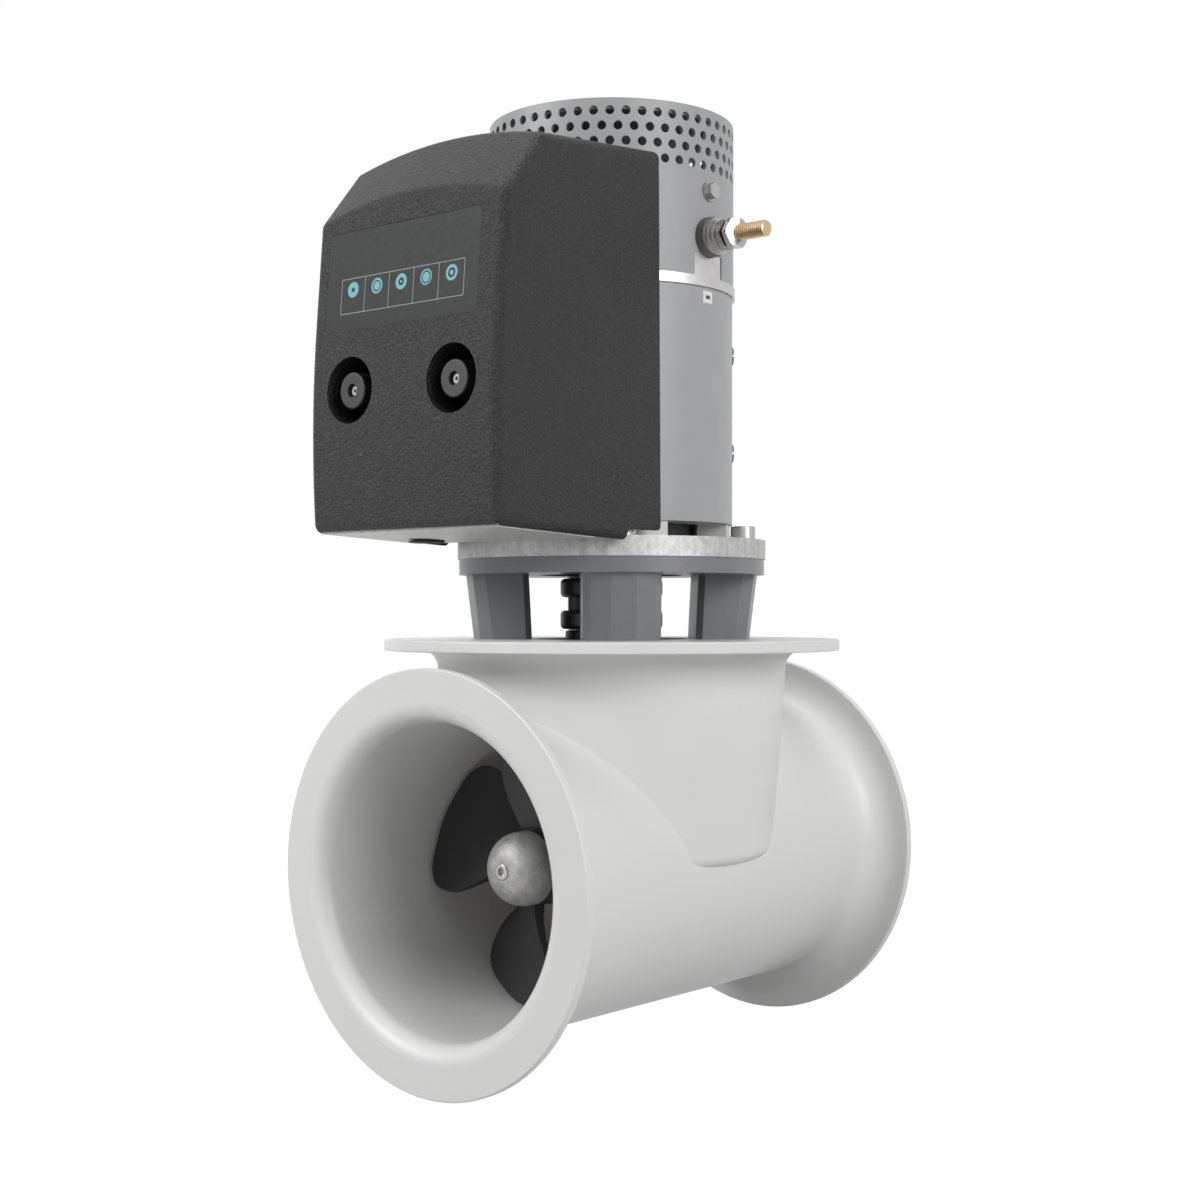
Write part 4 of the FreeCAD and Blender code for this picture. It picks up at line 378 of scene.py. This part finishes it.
WEARS = {
    "white_gel_coat": ["tunnel"],
    "bronze": ["gear_housing", "leg_clamp", "bearing_caps", "pinion"],
    "rubber": ["leg_gasket", "shaft_seal", "propeller_seals", "cable_grommet"],
    "stainless": ["leg_screws", "bracket_foot_bolts", "adaptor_bolts", "shell_screws", "terminal_washers",
                  "terminal_nuts", "cover_studs", "drive_shaft", "gear_shaft_front", "gear_shaft_back",
                  "anode_screw_front", "anode_screw_back", "bracket_screws"],
    "dark_steel": ["shaft_bearings", "propeller_bearings", "motor_screws", "motor_bearings", "field_poles",
                   "motor_shaft", "armature_core", "pole_screws"],
    "bracket_paint": ["motor_bracket"],
    "spangled_zinc": ["adaptor_plate"],
    "sheet_zinc": ["control_bracket"],
    "bright_band": ["clamp_band"],
    "cast_light": ["drive_end_shield"],
    "black_paint": ["bearing_neck", "coupling_upper", "coupling_lower", "neck_cap"],
    "motor_paint": ["vent_shell", "top_shield"],
    "motor_tube_paint": ["yoke"],
    "olive_plastic": ["terminal_insulator"],
    "pale_plastic": ["brush_ring", "contactors"],
    "carbon": ["brushes"],
    "copper": ["commutator", "armature_windings", "bus_bars"],
    "brass": ["terminal_stud"],
    "module_plastic": ["control_module"],
    "knob_plastic": ["knob_left", "knob_right"],
    "leather_grain": ["cover"],
    "propeller_composite": ["propeller_front", "propeller_back"],
    "pitted_zinc": ["anode_front", "anode_back"],
    "coupling_insert": ["coupling_middle"],
}


def dress(thing, finish):
    thing.data.materials.clear()
    thing.data.materials.append(FINISHES[finish])


for finish, worn_by in WEARS.items():
    for label in worn_by:
        dress(NODES[label], finish)


# ---------------------------------------------------------------- modelled pieces
def nothing_selected():
    if bpy.context.object and bpy.context.object.mode != "OBJECT":
        bpy.ops.object.mode_set(mode="OBJECT")
    bpy.ops.object.select_all(action="DESELECT")


def active(piece):
    nothing_selected()
    piece.select_set(True)
    bpy.context.view_layer.objects.active = piece
    return piece


def settle(piece):
    """Puts the piece's place into its mesh and its object at the origin."""
    active(piece)
    bpy.ops.object.transform_apply(location=True, rotation=True, scale=True)


def apply(piece, kind, **settings):
    active(piece)
    modifier = piece.modifiers.new(kind.title(), kind)
    for key, setting in settings.items():
        setattr(modifier, key, setting)
    bpy.ops.object.modifier_apply(modifier=modifier.name)


def mended(piece):
    """Doubles merged and every face turned outwards."""
    active(piece)
    bpy.ops.object.mode_set(mode="EDIT")
    bpy.ops.mesh.select_all(action="SELECT")
    bpy.ops.mesh.remove_doubles(threshold=0.00001)
    bpy.ops.mesh.normals_make_consistent(inside=False)
    bpy.ops.object.mode_set(mode="OBJECT")


def smooth(piece, angle):
    active(piece)
    bpy.ops.object.shade_smooth_by_angle(angle=math.radians(angle))


def finished(piece, label, finish, slot, body, *stands_for):
    piece.name = label
    piece.data.name = label
    dress(piece, finish)
    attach(piece, body)
    if stands_for:
        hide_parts(*stands_for)


def joined(pieces):
    nothing_selected()
    for piece in pieces:
        piece.select_set(True)
    bpy.context.view_layer.objects.active = pieces[0]
    bpy.ops.object.join()
    return bpy.context.object


def select_faces(piece, chosen):
    """Leaves the piece in edit mode with the faces for which chosen(centre, normal) holds selected."""
    active(piece)
    bpy.ops.object.mode_set(mode="EDIT")
    bpy.ops.mesh.select_mode(type="FACE")
    bpy.ops.mesh.select_all(action="DESELECT")
    shape = bmesh.from_edit_mesh(piece.data)
    for face in shape.faces:
        face.select = chosen(face.calc_center_median(), face.normal)
    bmesh.update_edit_mesh(piece.data)


# ---- perforated shell of the motor
SHELL_LOW, SHELL_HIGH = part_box("vent_shell")
SHELL_RADIUS, SHELL_WALL = SHELL_HIGH.x, 0.0025
VENTS, VENT_ROWS, VENT_PITCH, VENT_TOP, VENT_RADIUS = 50, 4, 0.0091, 0.0075, 0.0028
# The slot for the band's tab starts and ends at these angles, in degrees, and is this high.
TAB_FROM, TAB_TO, TAB_HEIGHT = -9.5, 11.3, 0.0143
HOLE_SIDES = 16


def vent_tile(width, height):
    """One oblong of sheet with a round hole in the middle, flat in X and Z, its rim split in quarters."""
    bpy.ops.mesh.primitive_circle_add(vertices=HOLE_SIDES, radius=VENT_RADIUS, rotation=(math.pi / 2, 0, 0))
    tile = bpy.context.object
    settle(tile)
    bpy.ops.object.mode_set(mode="EDIT")
    bpy.ops.mesh.select_all(action="SELECT")
    bpy.ops.mesh.extrude_edges_move()
    shape = bmesh.from_edit_mesh(tile.data)
    for point in [point for point in shape.verts if point.select]:
        eighth = math.atan2(point.co.z, point.co.x) / (math.pi / 4)
        place = [0, 0]
        for axis, turn in ((0, eighth), (1, eighth - 2)):
            from_axis = abs((turn + 4) % 8 - 4)
            place[axis] = 1 - 2 * max(0, min(1, (from_axis - 1) / 2))
        point.co.x, point.co.z = place[0] * width / 2, place[1] * height / 2
    bmesh.update_edit_mesh(tile.data)
    bpy.ops.object.mode_set(mode="OBJECT")
    return tile


def perforated_shell():
    girth = 2 * math.pi * SHELL_RADIUS
    width = girth / VENTS
    top = SHELL_HIGH.z
    sheets = []
    for row in range(VENT_ROWS):
        tile = vent_tile(width, VENT_PITCH)
        tile.location = (width * (row % 2) / 2, 0, top - VENT_TOP - row * VENT_PITCH)
        settle(tile)
        apply(tile, "ARRAY", count=VENTS, use_relative_offset=False, use_constant_offset=True,
              constant_offset_displace=(width, 0, 0), use_merge_vertices=True, merge_threshold=0.0001)
        sheets.append(tile)
    tab_top = SHELL_LOW.z + TAB_HEIGHT
    for low, high in ((top - VENT_TOP + VENT_PITCH / 2, top),
                      (tab_top, top - VENT_TOP - (VENT_ROWS - 0.5) * VENT_PITCH), (SHELL_LOW.z, tab_top)):
        bpy.ops.mesh.primitive_grid_add(x_subdivisions=4 * VENTS, y_subdivisions=1, size=1,
                                        rotation=(math.pi / 2, 0, 0))
        strip = bpy.context.object
        strip.scale = (girth, high - low, 1)
        strip.location = (girth / 2, 0, (low + high) / 2)
        settle(strip)
        sheets.append(strip)
    sleeve = joined(sheets)
    for point in sleeve.data.vertices:
        angle = point.co.x / SHELL_RADIUS
        point.co = (SHELL_RADIUS * math.cos(angle), SHELL_RADIUS * math.sin(angle), point.co.z)
    mended(sleeve)
    quarter = 360 / VENTS / 4
    first, last = (round(edge / quarter) * quarter for edge in (TAB_FROM, TAB_TO))
    select_faces(sleeve, lambda centre, normal: centre.z < tab_top
                 and first < math.degrees(math.atan2(centre.y, centre.x)) < last)
    bpy.ops.mesh.delete(type="FACE")
    bpy.ops.object.mode_set(mode="OBJECT")
    for point in sleeve.data.vertices:
        if point.co.z < tab_top + 0.0001:
            angle = math.degrees(math.atan2(point.co.y, point.co.x))
            for old, new in ((first, TAB_FROM), (last, TAB_TO)):
                if abs(angle - old) < quarter / 3:
                    turn = math.radians(new)
                    point.co.x, point.co.y = SHELL_RADIUS * math.cos(turn), SHELL_RADIUS * math.sin(turn)
    apply(sleeve, "SOLIDIFY", thickness=SHELL_WALL, offset=-1)
    smooth(sleeve, 35)
    finished(sleeve, "perforated_shell", "motor_paint", "grey_paint", "frame", "vent_shell")


# ---- terminal: threaded stud and chamfered nuts
STUD_LOW, STUD_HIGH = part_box("terminal_stud")
STUD_HEIGHT = (STUD_LOW.z + STUD_HIGH.z) / 2
STUD_RADIUS, THREAD_PITCH, THREAD_DEPTH = 0.005, 0.0015, 0.0009
STUD_CHAMFER = 0.0011
# One groove of the thread, as shares of its pitch and of its depth; sides to a turn.
THREAD_PROFILE = ((0, 0), (0.12, 0), (0.44, 1), (0.56, 1), (0.88, 0), (1, 0))
THREAD_SIDES = 24
# The two nuts, from the motor out: foot and height in metres, turn in degrees.
NUTS = ((0.0901, 0.0049, 9), (0.0950, 0.0080, 24))
NUT_KEY = 0.017
NUT_CORNER = NUT_KEY / math.sqrt(3)
# The cone that turns the corners off: a little wider than they are, flat up to this radius, and its slope.
CONE_SIDES, CONE_RADIUS, CONE_FLAT, CONE_SLOPE = 64, NUT_CORNER * 1.01, NUT_KEY / 2 * 0.96, 30


def cut_off(piece, place, direction):
    active(piece)
    bpy.ops.object.mode_set(mode="EDIT")
    bpy.ops.mesh.select_all(action="SELECT")
    bpy.ops.mesh.bisect(plane_co=place, plane_no=direction, use_fill=True, clear_outer=True, threshold=1e-7)
    bpy.ops.object.mode_set(mode="OBJECT")


def threaded_stud():
    """A rolled thread about X: one groove's profile, turned and advanced pitch by pitch."""
    start, end = STUD_LOW.x, STUD_HIGH.x
    turns = int((end - start) / THREAD_PITCH) + 5
    bpy.ops.mesh.primitive_circle_add(vertices=6, radius=1, fill_type="NOTHING")
    stud = bpy.context.object
    bpy.ops.object.mode_set(mode="EDIT")
    shape = bmesh.from_edit_mesh(stud.data)
    shape.clear()
    points = [shape.verts.new((STUD_RADIUS - THREAD_DEPTH * deep, 0, THREAD_PITCH * along))
              for along, deep in THREAD_PROFILE]
    for first, second in zip(points, points[1:]):
        shape.edges.new((first, second))
    bmesh.update_edit_mesh(stud.data)
    bpy.ops.object.mode_set(mode="OBJECT")
    apply(stud, "SCREW", angle=2 * math.pi, screw_offset=THREAD_PITCH, iterations=turns,
          steps=THREAD_SIDES, render_steps=THREAD_SIDES, axis="Z",
          use_merge_vertices=True, merge_threshold=0.000005)
    stud.rotation_euler = (0, math.pi / 2, 0)
    stud.location = (start - 2 * THREAD_PITCH, 0, STUD_HEIGHT)
    settle(stud)
    mended(stud)
    cut_off(stud, (end, 0, STUD_HEIGHT), (1, 0, 0))
    cut_off(stud, (start, 0, STUD_HEIGHT), (-1, 0, 0))
    for point in stud.data.vertices:
        allowed = STUD_RADIUS - max(0.0, STUD_CHAMFER - (end - point.co.x))
        away = math.hypot(point.co.y, point.co.z - STUD_HEIGHT)
        if away > allowed:
            point.co.y *= allowed / away
            point.co.z = STUD_HEIGHT + (point.co.z - STUD_HEIGHT) * allowed / away
    mended(stud)
    smooth(stud, 30)
    finished(stud, "threaded_stud", "brass", "brass", "frame", "terminal_stud")


def hexagon_nut(foot, height, turn):
    """A nut along +X, its corners turned off by a cone at both ends."""
    bpy.ops.mesh.primitive_cylinder_add(vertices=6, radius=NUT_CORNER, depth=height,
                                        rotation=(turn, math.pi / 2, 0))
    nut = bpy.context.object
    settle(nut)
    bpy.ops.mesh.primitive_cylinder_add(vertices=CONE_SIDES, radius=CONE_RADIUS, depth=height,
                                        rotation=(0, math.pi / 2, 0))
    turned = bpy.context.object
    settle(turned)
    for end in (1, -1):
        select_faces(turned, lambda centre, normal: normal.x * end > 0.9)
        bpy.ops.mesh.inset(thickness=CONE_RADIUS - CONE_FLAT)
        bpy.ops.object.mode_set(mode="OBJECT")
    slope = math.tan(math.radians(CONE_SLOPE))
    for point in turned.data.vertices:
        past = math.hypot(point.co.y, point.co.z) - CONE_FLAT
        if past > 0.0001:
            point.co.x -= math.copysign(past * slope, point.co.x)
    apply(nut, "BOOLEAN", object=turned, operation="INTERSECT", solver="EXACT")
    bpy.data.objects.remove(turned, do_unlink=True)
    nut.location = (foot + height / 2, 0, STUD_HEIGHT)
    settle(nut)
    mended(nut)
    smooth(nut, 25)
    return nut


def terminal_nuts():
    pair = joined([hexagon_nut(foot, height, math.radians(turn)) for foot, height, turn in NUTS])
    finished(pair, "chamfered_nuts", "stainless", "stainless", "frame", "terminal_nuts")


perforated_shell()
threaded_stud()
terminal_nuts()


# ---------------------------------------------------------------- studio
# Strength of the white world: what lights the part, and what the camera sees.
WORLD_LIGHT, WORLD_SEEN = 0.20, 1.0
# The floor: its width, its drop under the part, its white, its glow, the glow's share and what it reflects.
FLOOR_SIZE, FLOOR_DROP, FLOOR_ROUGHNESS = 30, 0.002, 0.9
FLOOR_WHITE, FLOOR_GLOW, FLOOR_GLOW_SHARE, FLOOR_DIM = 0.93, 1.22, 0.80, 0.40
# The lamps: name, place, aim, size in metres, power in watts.
LAMPS = (
    ("key", (-1.1, -2.0, 1.2), (0, 0, 0.05), 1.1, 38),
    ("fill", (2.1, -0.3, 0.8), (0, 0, 0), 1.3, 28),
    ("top", (-0.3, -0.1, 2.3), (0, 0, 0), 1.1, 17),
)
# The camera, level, as fitted to the photograph: millimetres for the lens, metres for the place.
SENSOR, LENS, LENS_SHIFT, CAMERA_FAR = 36, 52.99, 0.0107, 100
CAMERA_PLACE, CAMERA_HEADING = (0.7381, -0.8686, 0.0167), math.atan2(0.6525, 0.7578)


def studio_light(name, place, aim, size, power):
    lamp = bpy.data.lights.new(name, "AREA")
    lamp.shape, lamp.size, lamp.energy = "DISK", size, power
    holder = bpy.data.objects.new(name, lamp)
    bpy.context.scene.collection.objects.link(holder)
    holder.location = place
    holder.rotation_euler = (Vector(aim) - Vector(place)).to_track_quat("-Z", "Y").to_euler()


def white_where_seen(tree):
    """1 for what the camera sees, directly, in reflections and through glass; 0 for all other light."""
    path = tree.nodes.new("ShaderNodeLightPath")
    seen = tree.nodes.new("ShaderNodeMath")
    seen.operation = "MAXIMUM"
    both = tree.nodes.new("ShaderNodeMath")
    both.operation = "MAXIMUM"
    tree.links.new(path.outputs["Is Camera Ray"], seen.inputs[0])
    tree.links.new(path.outputs["Is Glossy Ray"], seen.inputs[1])
    tree.links.new(seen.outputs[0], both.inputs[0])
    tree.links.new(path.outputs["Is Transmission Ray"], both.inputs[1])
    return both.outputs[0]


def studio():
    world = bpy.data.worlds.new("studio")
    bpy.context.scene.world = world
    world.use_nodes = True
    tree = world.node_tree
    plain = tree.nodes["Background"]
    plain.inputs["Color"].default_value = (1, 1, 1, 1)
    plain.inputs["Strength"].default_value = WORLD_LIGHT
    bright = tree.nodes.new("ShaderNodeBackground")
    bright.inputs["Color"].default_value = (1, 1, 1, 1)
    bright.inputs["Strength"].default_value = WORLD_SEEN
    choose = tree.nodes.new("ShaderNodeMixShader")
    tree.links.new(white_where_seen(tree), choose.inputs[0])
    tree.links.new(plain.outputs[0], choose.inputs[1])
    tree.links.new(bright.outputs[0], choose.inputs[2])
    tree.links.new(choose.outputs[0], tree.nodes["World Output"].inputs["Surface"])

    low = cad_box[0].z - FLOOR_DROP
    bpy.ops.mesh.primitive_plane_add(size=FLOOR_SIZE, location=(0, 0, low))
    floor = bpy.context.object
    floor.name = "studio_floor"
    paint = bpy.data.materials.new("studio_floor")
    paint.use_nodes = True
    tree = paint.node_tree
    matt = tree.nodes["Principled BSDF"]
    matt.inputs["Base Color"].default_value = (*grey(FLOOR_WHITE), 1)
    matt.inputs["Roughness"].default_value = FLOOR_ROUGHNESS
    dim = tree.nodes.new("ShaderNodeBsdfDiffuse")
    dim.inputs["Color"].default_value = (*grey(FLOOR_DIM), 1)
    glow = tree.nodes.new("ShaderNodeEmission")
    glow.inputs["Strength"].default_value = FLOOR_GLOW
    white = tree.nodes.new("ShaderNodeMixShader")
    white.inputs[0].default_value = FLOOR_GLOW_SHARE
    tree.links.new(matt.outputs[0], white.inputs[1])
    tree.links.new(glow.outputs[0], white.inputs[2])
    choose = tree.nodes.new("ShaderNodeMixShader")
    tree.links.new(white_where_seen(tree), choose.inputs[0])
    tree.links.new(dim.outputs[0], choose.inputs[1])
    tree.links.new(white.outputs[0], choose.inputs[2])
    tree.links.new(choose.outputs[0], tree.nodes["Material Output"].inputs["Surface"])
    floor.data.materials.append(paint)

    for lamp in LAMPS:
        studio_light(*lamp)


def camera():
    lens = bpy.data.cameras.new("camera")
    lens.sensor_width, lens.lens, lens.shift_y = SENSOR, LENS, LENS_SHIFT
    lens.clip_end = CAMERA_FAR
    holder = bpy.data.objects.new("camera", lens)
    bpy.context.scene.collection.objects.link(holder)
    holder.location = CAMERA_PLACE
    holder.rotation_euler = (math.pi / 2, 0, CAMERA_HEADING)
    bpy.context.scene.camera = holder


studio()
camera()
bpy.context.scene.view_settings.view_transform = "Standard"
